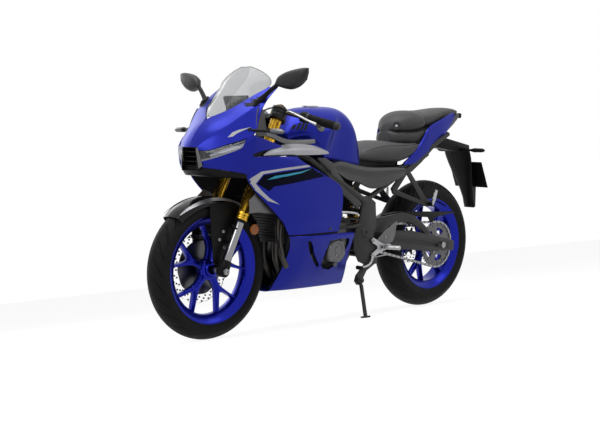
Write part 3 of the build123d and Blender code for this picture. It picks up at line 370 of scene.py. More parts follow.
def grid_piece(name, rows, mat, body="chassis", side=1, levels=2, thick=3.0, creases=None, col_creases=None,
               closed=False, angle=50):
    """A smooth shell over rows of points, or a closed body, with creases {row or column: sharpness}."""
    creases, col_creases = creases or {}, col_creases or {}
    k = len(rows[0])
    last = len(rows) - 1
    verts = [(x, y * side, z) for row in rows for x, y, z in row]
    faces = []
    for i in range(last):
        for j in range(k if closed else k - 1):
            e = (j + 1) % k
            f = (i * k + j, i * k + e, (i + 1) * k + e, (i + 1) * k + j)
            faces.append(f if side > 0 else f[::-1])
    if closed:
        faces.append(tuple(range(k)))
        faces.append(tuple(range(last * k, (last + 1) * k)))
    me = bpy.data.meshes.new(name)
    me.from_pydata(verts, [], faces)
    bm = bmesh.new()
    bm.from_mesh(me)
    bmesh.ops.recalc_face_normals(bm, faces=bm.faces)
    bm.verts.index_update()
    crease = bm.edges.layers.float.new("crease_edge")
    for e in bm.edges:
        a, b = sorted(v.index for v in e.verts)
        if a // k == b // k and (a // k in creases or (closed and a // k in (0, last))):
            e[crease] = creases.get(a // k, 0.9)
        if a % k == b % k and a % k in col_creases:
            e[crease] = col_creases[a % k]
    bm.to_mesh(me)
    bm.free()
    o = finish_piece(name, me, mat, body, angle)
    s = o.modifiers.new("round", "SUBSURF")
    s.levels = s.render_levels = levels
    s.boundary_smooth = "PRESERVE_CORNERS"
    if thick:
        t = o.modifiers.new("wall", "SOLIDIFY")
        t.thickness = thick * 0.001
        t.offset = -1.0
        t.use_even_offset = True
    return applied(o, angle)


def pair(stem, rows, mat, levels=2, thick=3.0, stands_for=None, body="chassis", **more):
    """A left piece over rows and its mirror image, with the side added to the stem of the name."""
    made = [grid_piece(stem + "_" + name, rows, mat, body, side, levels, thick, **more)
            for side, name in SIDES]
    if stands_for:
        for (side, name), o in zip(SIDES, made):
            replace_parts(o, stands_for + "_" + name)
    return made


def pair_of_plates(stem, outlines, y0, y1, mat, edge, body="chassis"):
    return [plate(stem + "_" + name, outlines, side * y0, side * y1, mat, edge, body) for side, name in SIDES]


def pair_of_tubes(stem, points, radius, mat, n=12, body="chassis"):
    return [tube(stem + "_" + name, [(x, side * y, z) for x, y, z in points], radius, mat, body, n)
            for side, name in SIDES]


def pair_of_rounds(stem, profile, mat, at, n, body="chassis"):
    """A (radius, along) profile turned about an axis across the bike, on each side."""
    x, y, z = at
    return [lathe(stem + "_" + name, profile, mat, (x, side * y, z), (0, side, 0), n, body)
            for side, name in SIDES]


def pair_of_bolts(stem, at, r, h, mat="steel", body="chassis", end=""):
    x, y, z = at
    return [bolt(stem + "_" + name + end, (x, side * y, z), (0, side, 0), r, h, mat, body)
            for side, name in SIDES]


def bvh_of(*objects):
    """The surface of some pieces in the bike frame, for rays and nearest points."""
    verts, polys = [], []
    for o in objects:
        base = len(verts)
        verts += [UNBIKE @ v.co for v in o.data.vertices]
        polys += [tuple(base + i for i in p.vertices) for p in o.data.polygons]
    return BVHTree.FromPolygons(verts, polys)


def drape(name, outline, target, mat, side, lift=0.5, cell=8.0):
    """A thin film of the (x, z) outline laid on a surface from the side."""
    bm = bmesh.new()
    bm.faces.new([bm.verts.new((x, 0, z)) for x, z in outline])
    for axis, normal in ((0, (1, 0, 0)), (1, (0, 0, 1))):
        at = min(p[axis] for p in outline) + cell
        while at < max(p[axis] for p in outline):
            bmesh.ops.bisect_plane(bm, geom=bm.verts[:] + bm.edges[:] + bm.faces[:],
                                   plane_co=[at * share for share in normal], plane_no=normal)
            at += cell
    bmesh.ops.triangulate(bm, faces=[f for f in bm.faces if len(f.verts) > 4])
    ray = Vector((0, -side, 0))
    missed = []
    for v in bm.verts:
        hit, normal, _, _ = target.ray_cast(v.co - ray * 400, ray)
        if hit is None:
            missed.append(v)
        else:
            v.co = hit + (-normal if normal.dot(ray) > 0 else normal) * lift
    bmesh.ops.delete(bm, geom=missed, context="VERTS")
    bmesh.ops.recalc_face_normals(bm, faces=bm.faces)
    me = bpy.data.meshes.new(name)
    bm.to_mesh(me)
    bm.free()
    return finish_piece(name, me, mat, "chassis", 60)


# ---------------------------------------------------------------- wheels
def math_node(t, op, a, b=None, c=None, clamp=False):
    n = node(t, "ShaderNodeMath", operation=op)
    n.use_clamp = clamp
    for k, v in enumerate((a, b, c)):
        if isinstance(v, (int, float)):
            n.inputs[k].default_value = v
        elif v is not None:
            t.links.new(v, n.inputs[k])
    return n.outputs[0]


def tyre_material(name, blocks, lean_by, width):
    """Rubber with slanted grooves on the tread, darkened in colour in the grooves as painted shade, and fine
    rings on the side walls.
    """
    m = material(name, (0.012, 0.012, 0.0125), 0.6, vary=0.3, scale=30, IOR=1.22)
    t = m.node_tree
    p = next(n for n in t.nodes if n.type == "BSDF_PRINCIPLED")
    uv = node(t, "ShaderNodeTexCoord").outputs["UV"]
    split = node(t, "ShaderNodeSeparateXYZ")
    t.links.new(uv, split.inputs[0])
    u, v = split.outputs[0], split.outputs[1]
    v = math_node(t, "MULTIPLY_ADD", v, 4.0, -2.0)
    a = math_node(t, "ABSOLUTE", v)
    right = math_node(t, "MULTIPLY", math_node(t, "GREATER_THAN", v, 0.0), 0.5)
    bend = math_node(t, "MULTIPLY", math_node(t, "POWER", a, 1.6), lean_by)
    turn = math_node(t, "ADD", math_node(t, "MULTIPLY_ADD", u, blocks, bend), right)
    off = math_node(t, "ABSOLUTE", math_node(t, "SUBTRACT", math_node(t, "FRACT", turn), 0.5))
    groove = math_node(t, "MULTIPLY_ADD", off, -1.0 / width, 1.6, clamp=True)
    far = math_node(t, "MULTIPLY_ADD", a, 9.0, -0.9, clamp=True)
    near = math_node(t, "MULTIPLY_ADD", a, -9.0, 8.2, clamp=True)
    mask = math_node(t, "MULTIPLY", groove, math_node(t, "MULTIPLY", far, near))
    wall = math_node(t, "MULTIPLY_ADD", a, 20.0, -21.0, clamp=True)
    rings = math_node(t, "MULTIPLY", math_node(t, "SINE", math_node(t, "MULTIPLY", a, 95.0)), wall)
    height = math_node(t, "MULTIPLY_ADD", rings, 0.10, math_node(t, "MULTIPLY", mask, -1.0))
    b = node(t, "ShaderNodeBump", Strength=1.0, Distance=0.0035)
    t.links.new(height, b.inputs["Height"])
    t.links.new(b.outputs[0], p.inputs["Normal"])
    # painted shade: the colour of the rubber is darkened to near black in the tread grooves, where shade falls
    groove_painted_shade = node(t, "ShaderNodeMix", data_type="RGBA")
    t.links.new(mask, groove_painted_shade.inputs[0])
    t.links.new(p.inputs["Base Color"].links[0].from_socket, groove_painted_shade.inputs[6])
    groove_painted_shade.inputs[7].default_value = (0.003, 0.003, 0.003, 1)
    t.links.new(groove_painted_shade.outputs[2], p.inputs["Base Color"])
    return m


def tyre(name, cx, cz, r, half, shoulder, rim_half, body, mat):
    """A tyre from bead to bead, half wide on each side, with its UV running around and across."""
    crown = (half ** 2 + shoulder ** 2) / (2 * shoulder)
    top = asin(min(1.0, half / crown))
    half_line = [(r - crown + crown * cos(top * i / 12), crown * sin(top * i / 12), i / 12)
                 for i in range(13)]
    edge = r - shoulder
    half_line += [(edge - 9, half - 0.5, 1.08), (edge - 20, half - 3.5, 1.25), (228, rim_half + 3.5, 1.5),
                  (219, rim_half + 0.5, 1.62)]
    line = [(rr, -y, -s) for rr, y, s in reversed(half_line[1:])] + half_line
    n, k = 144, len(line)
    verts, faces, uvs = [], [], []
    for i in range(n):
        a = 2 * pi * i / n
        j = (i + 1) % n
        verts += [(cx + rr * cos(a), y, cz + rr * sin(a)) for rr, y, s in line]
        for q in range(k - 1):
            faces.append((i * k + q, i * k + q + 1, j * k + q + 1, j * k + q))
            v0, v1 = (line[q][2] + 2) / 4, (line[q + 1][2] + 2) / 4
            uvs += [(i / n, v0), (i / n, v1), ((i + 1) / n, v1), ((i + 1) / n, v0)]
    me = bpy.data.meshes.new(name)
    me.from_pydata(verts, [], faces)
    for loop, uv in zip(me.uv_layers.new(name="UVMap").data, uvs):
        loop.uv = uv
    return finish_piece(name, me, mat, body, 50)


def rim(name, cx, cz, half, hub, body, phase):
    """A cast wheel of five forked spokes with a lipped barrel."""
    barrel = mirrored([(232, half), (229, half + 3), (222, half + 2), (214, half - 1), (207, half - 7),
                       (196, half - 13), (188, half - 24)], [(186, 0)])
    barrel += mirrored([(222, 4 - half), (212, 9 - half), (202, 18 - half)], [(198, 0)])
    parts = [lathe(name, barrel, "wheel", (cx, 0, cz), (0, 1, 0), 120, body, closed=True)]
    spoke = mirrored([(30, 23), (60, 15), (88, 15), (106, 21), (150, 43), (186, 62), (196, 69), (196, 53),
                      (186, 47), (150, 28), (126, 10)], [(118, 0)])
    rib = mirrored([(40, 8), (92, 7), (112, 14), (190, 58), (192, 54), (118, 9)], [(112, 0)])
    for i in range(5):
        a = phase + 2 * pi * i / 5
        for line, reach, edge in ((spoke, 15, 7.0), (rib, 19, 3.0)):
            spun = [(cx + r * cos(a) - t * sin(a), cz + r * sin(a) + t * cos(a)) for r, t in line]
            parts.append(plate(name + "_spoke", [spun], -reach, reach, "wheel", edge, body))
    boss = mirrored([(20, hub), (28, hub), (31, hub - 3), (33, hub - 10), (44, hub - 14), (46, 12)])
    parts.append(lathe(name + "_hub", boss, "wheel", (cx, 0, cz), (0, 1, 0), 48, body, closed=True))
    return joined(name, parts)


def disc(name, cx, cz, y0, y1, r, inner, carrier, body, holes=24):
    """A brake disc: a drilled ring with a scalloped rim on a spoked carrier."""
    outlines = [ring_points(cx, cz, r - 2, 160, wave=2.0, waves=20),
                ring_points(cx, cz, inner, 80, wave=1.5, waves=10)]
    for i in range(holes):
        for k, share in enumerate((0.28, 0.55, 0.8)):
            a = 2 * pi * (i + k * 0.33) / holes
            rr = inner + (r - inner) * share
            outlines.append(ring_points(cx + rr * cos(a), cz + rr * sin(a), 3.6, 8))
    ring = plate(name, outlines, y0, y1, "disc", 0.4, body)
    arms = []
    for i in range(10):
        a = 2 * pi * i / 10
        for da, rr in ((-0.16, carrier + 6), (-0.07, inner - 2), (0.07, inner - 2), (0.16, carrier + 6)):
            arms.append((cx + rr * cos(a + da), cz + rr * sin(a + da)))
    mid = (y0 + y1) / 2
    star = [arms, ring_points(cx, cz, carrier - 14, 40)]
    return ring, plate(name + "_carrier", star, mid - 1.8, mid + 1.8, "dark", 0.4, body)


M["tyre_front"] = tyre_material("tyre_front_rubber", 26, 1.5, 0.085)
M["tyre_rear"] = tyre_material("tyre_rear_rubber", 24, 1.8, 0.085)
o = tyre("front_tyre_tread", FRONT_X, FRONT_Z, r=293, half=55, shoulder=38, rim_half=41, body="front_wheel",
         mat="tyre_front")
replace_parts(o, "front_tyre")
o = tyre("rear_tyre_tread", 0, REAR_Z, r=314, half=70, shoulder=48, rim_half=57, body="rear_wheel",
         mat="tyre_rear")
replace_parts(o, "rear_tyre")
o = rim("front_wheel_cast", FRONT_X, FRONT_Z, half=41, hub=34, body="front_wheel", phase=radians(96))
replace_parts(o, "front_rim")
o = rim("rear_wheel_cast", 0, REAR_Z, half=57, hub=48, body="rear_wheel", phase=radians(70))
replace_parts(o, "rear_rim")
DISC_BOLTS_R = 52
for o in disc("front_brake_disc", FRONT_X, FRONT_Z, -54, -50, r=149, inner=113, carrier=62,
              body="front_wheel"):
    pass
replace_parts(o, "front_disc")
for o in disc("rear_brake_disc", 0, REAR_Z, -85, -81, r=110, inner=74, carrier=50, body="rear_wheel",
              holes=18):
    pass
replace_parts(o, "rear_disc")
for i in range(5):
    a = 2 * pi * i / 5
    at = (FRONT_X + DISC_BOLTS_R * cos(a), -54, FRONT_Z + DISC_BOLTS_R * sin(a))
    bolt("front_disc_bolt_%d" % i, at, (0, -1, 0), 6, 5, "steel", "front_wheel")

# ---------------------------------------------------------------- sprocket and chain
TEETH, FRONT_TEETH, PITCH = 44, 15, 15.875
big = PITCH / (2 * sin(pi / TEETH))
small = PITCH / (2 * sin(pi / FRONT_TEETH))


def toothed(cx, cz, r, count):
    """The (x, z) outline of a sprocket about its pitch radius."""
    tooth = ((0.0, -4.2), (0.2, -3.4), (0.38, 2.2), (0.5, 4.2), (0.62, 2.2), (0.8, -3.4))
    turns = [(2 * pi * (i + share) / count, r + out) for i in range(count) for share, out in tooth]
    return [(cx + rr * cos(a), cz + rr * sin(a)) for a, rr in turns]


# the rear sprocket: its teeth, its bore, five windows and fifteen small holes, on a carrier with five bolts
DRILLED_R, SPROCKET_BOLTS_R = 94, 42
outlines = [toothed(0, REAR_Z, big, TEETH), ring_points(0, REAR_Z, 30, 40)]
for i in range(5):
    a0 = 2 * pi * i / 5 + 0.2
    line = [(78, 0.12), (84, 0.35), (84, 0.65), (78, 0.86), (58, 0.8), (52, 0.5), (58, 0.18)]
    outlines.append([(r * cos(a0 + a), REAR_Z + r * sin(a0 + a)) for r, a in line])
for i in range(15):
    a = 2 * pi * i / 15
    outlines.append(ring_points(DRILLED_R * cos(a), REAR_Z + DRILLED_R * sin(a), 3.5, 8))
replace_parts(plate("rear_sprocket_teeth", outlines, 86.8, 93.2, "brushed", 0.8, "rear_wheel"), "rear_sprocket")
parts = [lathe("sprocket_carrier", [(20, 50), (44, 50), (48, 60), (48, 84), (20, 86)], "wheel",
               (0, 0, REAR_Z), (0, 1, 0), 48, "rear_wheel", closed=True)]
for i in range(5):
    a = 2 * pi * i / 5 + 0.2
    at = (SPROCKET_BOLTS_R * cos(a), 93, REAR_Z + SPROCKET_BOLTS_R * sin(a))
    parts.append(bolt("sprocket_bolt", at, (0, 1, 0), 7, 6, "steel", "rear_wheel"))
joined("sprocket_carrier", parts)

front_centre, rear_centre = Vector((648, 0, 402)), Vector((0, 0, REAR_Z))
span = front_centre - rear_centre
reach = hypot(span.x, span.z)
lift = asin((big - small) / reach)
straight = sqrt(reach ** 2 - (big - small) ** 2)
front_wrap = (pi - 2 * lift) * small
loop_length = 2 * straight + front_wrap + (pi + 2 * lift) * big
links = 2 * round(loop_length / PITCH / 2)


def chain_at(s):
    """A point on the chain's pitch line at a length s from the rear sprocket's top."""
    top = atan2(span.z, span.x) + pi / 2 - lift
    low = top - (pi - 2 * lift)
    if s < straight:
        return rear_centre + Vector((cos(top), 0, sin(top))) * big + Vector((sin(top), 0, -cos(top))) * s
    s -= straight
    if s < front_wrap:
        a = top - s / small
        return front_centre + Vector((cos(a), 0, sin(a))) * small
    s -= front_wrap
    if s < straight:
        return front_centre + Vector((cos(low), 0, sin(low))) * small + Vector((sin(low), 0, -cos(low))) * s
    a = low - (s - straight) / big
    return rear_centre + Vector((cos(a), 0, sin(a))) * big


def prism(verts, faces, ring, y0, y1):
    """Adds a flat-ended body between two values of y to a mesh's points and faces."""
    k, m = len(verts), len(ring)
    for y in (y0, y1):
        verts.extend(Vector((p.x, y, p.z)) for p in ring)
    faces.append(tuple(range(k, k + m)))
    faces.append(tuple(range(k + m, k + 2 * m))[::-1])
    for q in range(m):
        e = (q + 1) % m
        faces.append((k + q, k + m + q, k + m + e, k + e))


# the two side plates of a wide and of a narrow link, and the pin, as values of y
WIDE_LINK, NARROW_LINK = ((82.2, 84.2), (95.8, 97.8)), ((84.6, 86.2), (93.8, 95.4))
PIN_R, PIN_ENDS = 3.4, (82.0, 98.0)
waist = [(-5, 3), (-2.5, 5.8), (2.5, 5.8), (7.9, 3.6), (13.4, 5.8), (18.4, 5.8), (20.9, 3)]
side_plate = [(-6.5, 0)] + mirrored(waist, [(22.4, 0)])
side_plate = side_plate[-1:] + side_plate[:-1]
verts, faces = [], []
for i in range(links):
    a = chain_at(i * loop_length / links)
    d = (chain_at((i + 1) % links * loop_length / links) - a).normalized()
    u = Vector((-d.z, 0, d.x))
    for y0, y1 in WIDE_LINK if i % 2 else NARROW_LINK:
        prism(verts, faces, [a + d * (t * 0.92 + 0.6) + u * w for t, w in side_plate], y0, y1)
    pin = [a + Vector((PIN_R * cos(2 * pi * q / 8), 0, PIN_R * sin(2 * pi * q / 8))) for q in range(8)]
    prism(verts, faces, pin, *PIN_ENDS)
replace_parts(add("drive_chain_links", verts, faces, "steel", angle=30), "chain")

# ---------------------------------------------------------------- front end
FORK_AHEAD, FORK_OUT = 37.7, 99
GOLD_FROM, LUG_TOP = 531, 352


def up_stem(c):
    """Length along the stem of a point in the bike frame."""
    return -(c.x - FOOT_X) * sin(RAKE) + c.z * cos(RAKE)


def near_axle(c):
    return hypot(c.x - FRONT_X, c.z - FRONT_Z) < 40 or up_stem(c) < LUG_TOP


for side, name in SIDES:
    dress("fork_" + name, "gold", 1.5, others=[
        ("chrome", lambda c: up_stem(c) < GOLD_FROM and not near_axle(c)),
        ("black", near_axle),
        ("frame", lambda c, s=side: s < 0 and -100 < c.y < -78 and up_stem(c) < 470)])
    for piece, mat, n, profile in (
            ("gold_foot", "gold", 40, [(25.3, 531), (27.6, 533), (27.8, 540), (26.2, 543), (26.2, 552),
                                       (27.4, 556), (27.4, 566), (25.3, 570)]),
            ("dust_seal", "rubber", 32, [(18.6, 519), (22, 521), (24.5, 528), (24.5, 532), (18.6, 533)]),
            ("cap", "frame", 24, [(0.01, 1057), (10, 1057), (12, 1053), (18, 1052), (22, 1049), (23, 1045)]),
            ("lug_sleeve", "black", 32, [(18.6, 352), (22.5, 350), (24, 340), (24.5, 322), (22, 316)])):
        lathe("fork_%s_%s" % (piece, name), profile, mat, steer(FORK_AHEAD, side * FORK_OUT, 0), STEM, n,
              "steering")
    bolt("front_axle_nut", (FRONT_X, side * 122, FRONT_Z), (0, side, 0), 11, 7, "steel", "steering")
PISTONS_R = 128
for k in range(2):
    a = radians(142 + k * 18)
    at = (FRONT_X + PISTONS_R * cos(a), -90, FRONT_Z + PISTONS_R * sin(a))
    lathe("caliper_piston_%d" % k, [(0.01, 5), (15, 5), (17, 3), (17, -4)], "dark", at, (0, -1, 0), 28,
          "steering")


def bar(left, side):
    """A point on the middle of a handlebar, left mm from the middle of the bike."""
    inner, outer = Vector((FORK_AHEAD, 128, 1027)), Vector((-70, 365, 1009))
    p = inner + (outer - inner) * ((left - inner.y) / (outer.y - inner.y))
    return steer(p.x, side * p.y, p.z)


grip = [(16.6, 0), (19.5, 1), (19.5, 5), (17.0, 7)]
RIB_PITCH = 6.2
for k in range(17):
    grip += [(r, along + k * RIB_PITCH) for r, along in ((17.0, 8), (17.9, 9.5), (17.9, 12.2), (17.0, 13.6))]
grip += [(17.0, 116), (18.5, 117), (18.5, 121), (12, 122)]
for side, name in SIDES:
    line = bar(356, side) - bar(238, side)
    pod = bar(214, side)
    lathe("grip_" + name, grip, "rubber", bar(236, side), line, 28, "steering")
    lathe("bar_end_" + name, [(12, 0), (15, 1), (15, 9), (13, 12), (0.01, 12)], "frame", bar(353, side), line,
          24, "steering")
    lever = steered([(66, 178, 1011), (66, 196, 1010), (50, 238, 1001), (26, 276, 991), (8, 304, 985)], side)
    tube(("clutch" if side > 0 else "brake") + "_lever_" + name, lever, [5, 6.5, 5.5, 5, 6.5], "alloy",
         "steering", 10)
    lathe("lever_ball_" + name, [(0.01, 7), (4, 6), (6.8, 2), (6.8, -2), (4, -6), (0.01, -7)], "alloy",
          lever[-1], lever[-1] - lever[-2], 16, "steering")
    lathe("switch_pod_" + name, [(15, -14), (22, -12), (24, -6), (24, 7), (22, 13), (15, 15)], "black", pod,
          line, 10, "steering")
    for k in range(3):
        at = pod + Vector((-20, 0, 10 - k * 9)) + line.normalized() * (k * 5 - 5)
        bolt("switch_%s_%d" % (name, k), at, (-1, 0, 0.4), 4, 5, "rubber", "steering")
lathe("brake_reservoir", [(0.01, 24), (17, 24), (19, 21), (19, 17), (17, 15), (16, -14), (12, -17),
                          (0.01, -17)], "black", steer(70, -168, 1046), STEM, 28, "steering")
lathe("ignition_lock", [(0.01, 20), (9, 20), (12, 18), (13, 0)], "steel", steer(30, 0, 1012), STEM, 24,
      "steering")
for name, radius, n, route in (
        ("reservoir_hose", 4, 12, [(70, -168, 1026), (72, -160, 1008), (66, -176, 1002)]),
        ("clutch_cable", 3.2, 8, [(66, 190, 1011), (92, 140, 1020), (92, 60, 1000), (70, 12, 940),
                                  (58, 20, 860), (52, 30, 800)]),
        ("brake_hose_upper", 3.2, 8, [(54, -190, 1003), (54, -140, 1002), (46, -74, 970), (40, -60, 915),
                                      (38, -70, 872), (37, -78, 850)])):
    tube(name, steered(route), radius, "rubber", "steering", n)
tube("brake_hose_lower", steered([(70, -70, 745), (74, -84, 700), (66, -80, 620), (30, -72, 540)])
     + [(1268, -88, 470), (1262, -88, 428)], 3.2, "rubber", "steering", 8)

# front fender: a smooth arch with a silver band and a guard beside each leg
ARCH = FRONT_Z + 7
rows = []
for k in range(15):
    a = radians(49 + 92 * k / 14)
    grow = 1.0 if 1 < k < 13 else 0.86
    tip = 0 if k else -3
    half = [(out, across * grow) for out, across in ((-30, 65), (-12, 62), (-5, 56), (0, 40), (2.5, 20))]
    rows.append([(FRONT_X + (ARCH + out + tip) * cos(a), y, FRONT_Z + (ARCH + out + tip) * sin(a))
                 for out, y in mirrored(half, [(3, 0)])])
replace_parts(grid_piece("front_fender_arch", rows, "gloss", "steering", col_creases={2: 0.9, 8: 0.9}),
            "front_fender")
guard = [(1424, 566), (1390, 572), (1330, 574), (1278, 560), (1262, 548), (1268, 520), (1300, 440),
         (1352, 322), (1372, 304), (1392, 306), (1402, 330), (1412, 440), (1420, 520)]
guards = pair_of_plates("fork_guard", [guard], 62.5, 66, "black", 1.4, "steering")
for (side, name), flat in zip(SIDES, guards):
    posts = [steer(FORK_AHEAD, 0, along) for along in (430, 500)]
    joined("fork_guard_" + name, [flat] + [
        lathe("guard_post", [(8, 64), (8, 88)], "black", (p.x, 0, p.z), (0, side, 0), 16, "steering")
        for p in posts])
for k, (x, z) in enumerate(((1352, 452), (1346, 386), (1372, 420))):
    pair_of_bolts("guard_bolt", (x, 66, z), 7, 4, body="steering", end="_%d" % k)

# a silver band along the flank of the fender, tapered at both ends
rows = []
for k in range(13):
    a = radians(52 + 72 * k / 12)
    wide = min(1.0, 0.25 + k / 4.0) if k < 6 else min(1.0, 0.15 + (12 - k) / 5.0)
    row = [(ARCH - 1.5 - 12 * t * wide + 1.2, 51 + 11.5 * t * wide + 1.2) for t in (0.0, 0.33, 0.66, 1.0)]
    rows.append([(FRONT_X + r * cos(a), y, FRONT_Z + r * sin(a)) for r, y in row])
pair("fender_band", rows, "silver", 1, 1.0, body="steering")
pair_of_rounds("side_reflector", [(0.01, 8), (19, 8), (22, 6), (22, 0), (0.01, 0)], "amber", (1224, 112, 457),
               32, "steering")
pair_of_tubes("reflector_bracket", [(1305, 112, 458), (1318, 106, 466), (1332, 100, 480)], 5, "black", 8,
              "steering")

# ---------------------------------------------------------------- body panels
def cut(o, *cutters):
    """Takes the shapes of the cutters out of a piece."""
    for c in cutters:
        m = o.modifiers.new("cut", "BOOLEAN")
        m.operation = "DIFFERENCE"
        m.solver = "EXACT"
        m.object = c
        applied(o, 40)
        bpy.data.objects.remove(c)
    return o


def mean(a, b, out=0.0, share=0.5):
    """A row between two rows, moved outwards."""
    return [(p[0] + (q[0] - p[0]) * share, p[1] + (q[1] - p[1]) * share + out, p[2] + (q[2] - p[2]) * share)
            for p, q in zip(a, b)]


# rows from the nose to the rear edge of the cowl, from its top edge down
hood_top = [(1481, 0, 797), (1462, 0, 838), (1430, 0, 880), (1387, 0, 916), (1364, 41, 929), (1326, 84, 955),
            (1290, 106, 980), (1246, 128, 1012), (1191, 160, 1045)]
shoulder = [(1477, 40, 797), (1453, 66, 824), (1422, 92, 850), (1390, 114, 876), (1355, 137, 903),
            (1328, 157, 928), (1296, 174, 955), (1244, 184, 996), (1176, 176, 1045)]
brow = [(1475, 57, 786), (1457, 84, 782), (1422, 130, 802), (1388, 168, 818), (1352, 206, 835),
        (1315, 226, 850), (1292, 211, 930), (1238, 197, 994), (1166, 184, 1045)]
hood_mid = [(1480, 22, 797), (1460, 34, 834), (1430, 50, 870), (1390, 62, 902), (1361, 88, 920),
            (1327, 120, 944), (1294, 140, 970), (1246, 156, 1006), (1184, 168, 1046)]
lamp_under = [(1470, 68, 740), (1448, 106, 751), (1424, 141, 765), (1399, 175, 780), (1376, 206, 794),
              (1348, 215, 822), (1318, 227, 842)]
lip = [(1465, 76, 727), (1448, 104, 728), (1425, 133, 727), (1397, 161, 722), (1366, 190, 718),
       (1345, 203, 721), (1330, 208, 724)]
lip_low = [(1464, 66, 716), (1444, 98, 713), (1418, 134, 709), (1389, 158, 702), (1358, 180, 697),
           (1342, 188, 692), (1330, 192, 690)]
hoods = pair("cowl_hood", [hood_top, hood_mid, shoulder, mean(shoulder, brow, -2.0), brow], "paint", 3, 4.0,
             creases={2: 0.55})
cheeks = pair("cowl_cheek", [lamp_under, mean(lamp_under, lip, 2.0), lip, lip_low], "paint", 3, 4.0,
              creases={2: 0.95})
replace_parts(hoods[0], "upper_cowl")

# the chin under the nose, from its top edge to the edge tucked in below, in black: partly a dark inner shroud,
# partly painted shade under the nose
low = [(1455, 0, 684), (1448, 44, 682), (1424, 96, 678), (1386, 140, 676), (1352, 168, 676), (1338, 178, 676),
       (1330, 182, 676)]
front = [(1466, 0, 700), (1462, 52, 700), (1440, 94, 700), (1412, 130, 697), (1378, 162, 690),
         (1345, 182, 684), (1332, 187, 683)]
top = [(1470, 0, 714), (1464, 60, 714), (1441, 95, 711), (1414, 130, 706), (1384, 156, 699), (1354, 178, 694),
       (1332, 189, 689)]
tuck = [(1400, 0, 676), (1396, 40, 676), (1376, 84, 674), (1350, 118, 673), (1328, 140, 673),
        (1322, 150, 673), (1318, 156, 673)]
pair("cowl_chin", [top, front, low, tuck], "black", creases={2: 0.9})

brow_edge = brow[:5] + [(1328, 218, 844), (1316, 226, 849)]


def sunk(share, depth, first=0, last=7):
    """A row in the lamp's opening, from the brow at 0 to the cheek at 1, at a depth below the surface."""
    row = mean(brow_edge, lamp_under, 0, share)[first:last]
    return [(x - 0.73 * depth, y - 0.68 * depth, z) for x, y, z in row]


# the cowl closed behind the lamp, and the lamp: a dark bay, bright strips and a clear lens from brow to cheek
pair("cowl_corner", [brow_edge[4:], mean(brow_edge, lamp_under, 2.0)[4:], lamp_under[4:]], "paint", thick=4.0)
pair("lamp_bay", [sunk(-0.02, 4), sunk(0.08, 24), sunk(0.92, 24), sunk(1.02, 4)], "gloss", thick=1.5,
     creases={1: 0.9, 2: 0.9})
pair("lamp_reflector", [sunk(0.40, 15, 1, 6), sunk(0.60, 8, 1, 6), sunk(0.86, 13, 1, 6)], "lamp", thick=1.5)
pair("lamp_upper_strip", [sunk(0.14, 14, 3, 6), sunk(0.22, 9, 3, 6), sunk(0.30, 14, 3, 6)], "lamp", thick=1.5)
pair("lamp_lens", [sunk(0.0, 5), sunk(0.5, 3.5), sunk(1.0, 5)], "lens", thick=1.5, stands_for="headlight")
pair("lamp_bezel", [sunk(0.83, 4), sunk(0.91, 1.0), sunk(1.02, 1.5)], "trim", thick=2.5)

# cheeks of grey plastic beside the nose duct
pair("duct_cheek", [[(1476, 50, 797), (1470, 66, 742), (1466, 70, 722)],
                    [(1482, 44, 790), (1479, 50, 745), (1474, 52, 712)],
                    [(1478, 42, 792), (1474, 46, 745), (1470, 48, 708)]], "trim")

# ---------------------------------------------------------------- side fairings
fairing_rows = [
    [(1336, 208, 762), (1300, 217, 762), (1250, 222, 762), (1165, 222, 762), (1120, 220, 761),
     (1079, 215, 760)],
    [(1335, 204, 735), (1300, 215, 740), (1250, 223, 744), (1165, 226, 745), (1110, 225, 742),
     (1055, 218, 741)],
    [(1335, 191, 702), (1300, 203, 704), (1250, 217, 706), (1165, 224, 706), (1080, 223, 704),
     (962, 215, 705)],
    [(1330, 183, 672), (1290, 196, 674), (1240, 210, 676), (1160, 221, 676), (1060, 221, 676),
     (906, 213, 676)],
    [(1292, 181, 628), (1250, 193, 630), (1200, 205, 632), (1120, 217, 634), (1000, 220, 636),
     (796, 207, 634)],
    [(1232, 184, 578), (1190, 195, 580), (1140, 206, 582), (1070, 215, 584), (950, 218, 584),
     (789, 206, 584)],
    [(1166, 190, 520), (1130, 198, 520), (1090, 206, 520), (1030, 212, 522), (930, 214, 522),
     (793, 205, 522)],
    [(1131, 194, 484), (1100, 200, 484), (1065, 206, 484), (1010, 210, 485), (920, 211, 486),
     (797, 203, 486)],
    [(1112, 192, 452), (1085, 197, 452), (1055, 201, 452), (1005, 203, 452), (915, 203, 452),
     (799, 195, 452)],
    [(1100, 194, 432), (1076, 199, 432), (1050, 202, 432), (1000, 203, 432), (910, 203, 432),
     (800, 194, 432)],
]
fairings = pair("side_fairing_panel", fairing_rows, "paint", 3, 4.0, "side_fairing", creases={7: 0.6})

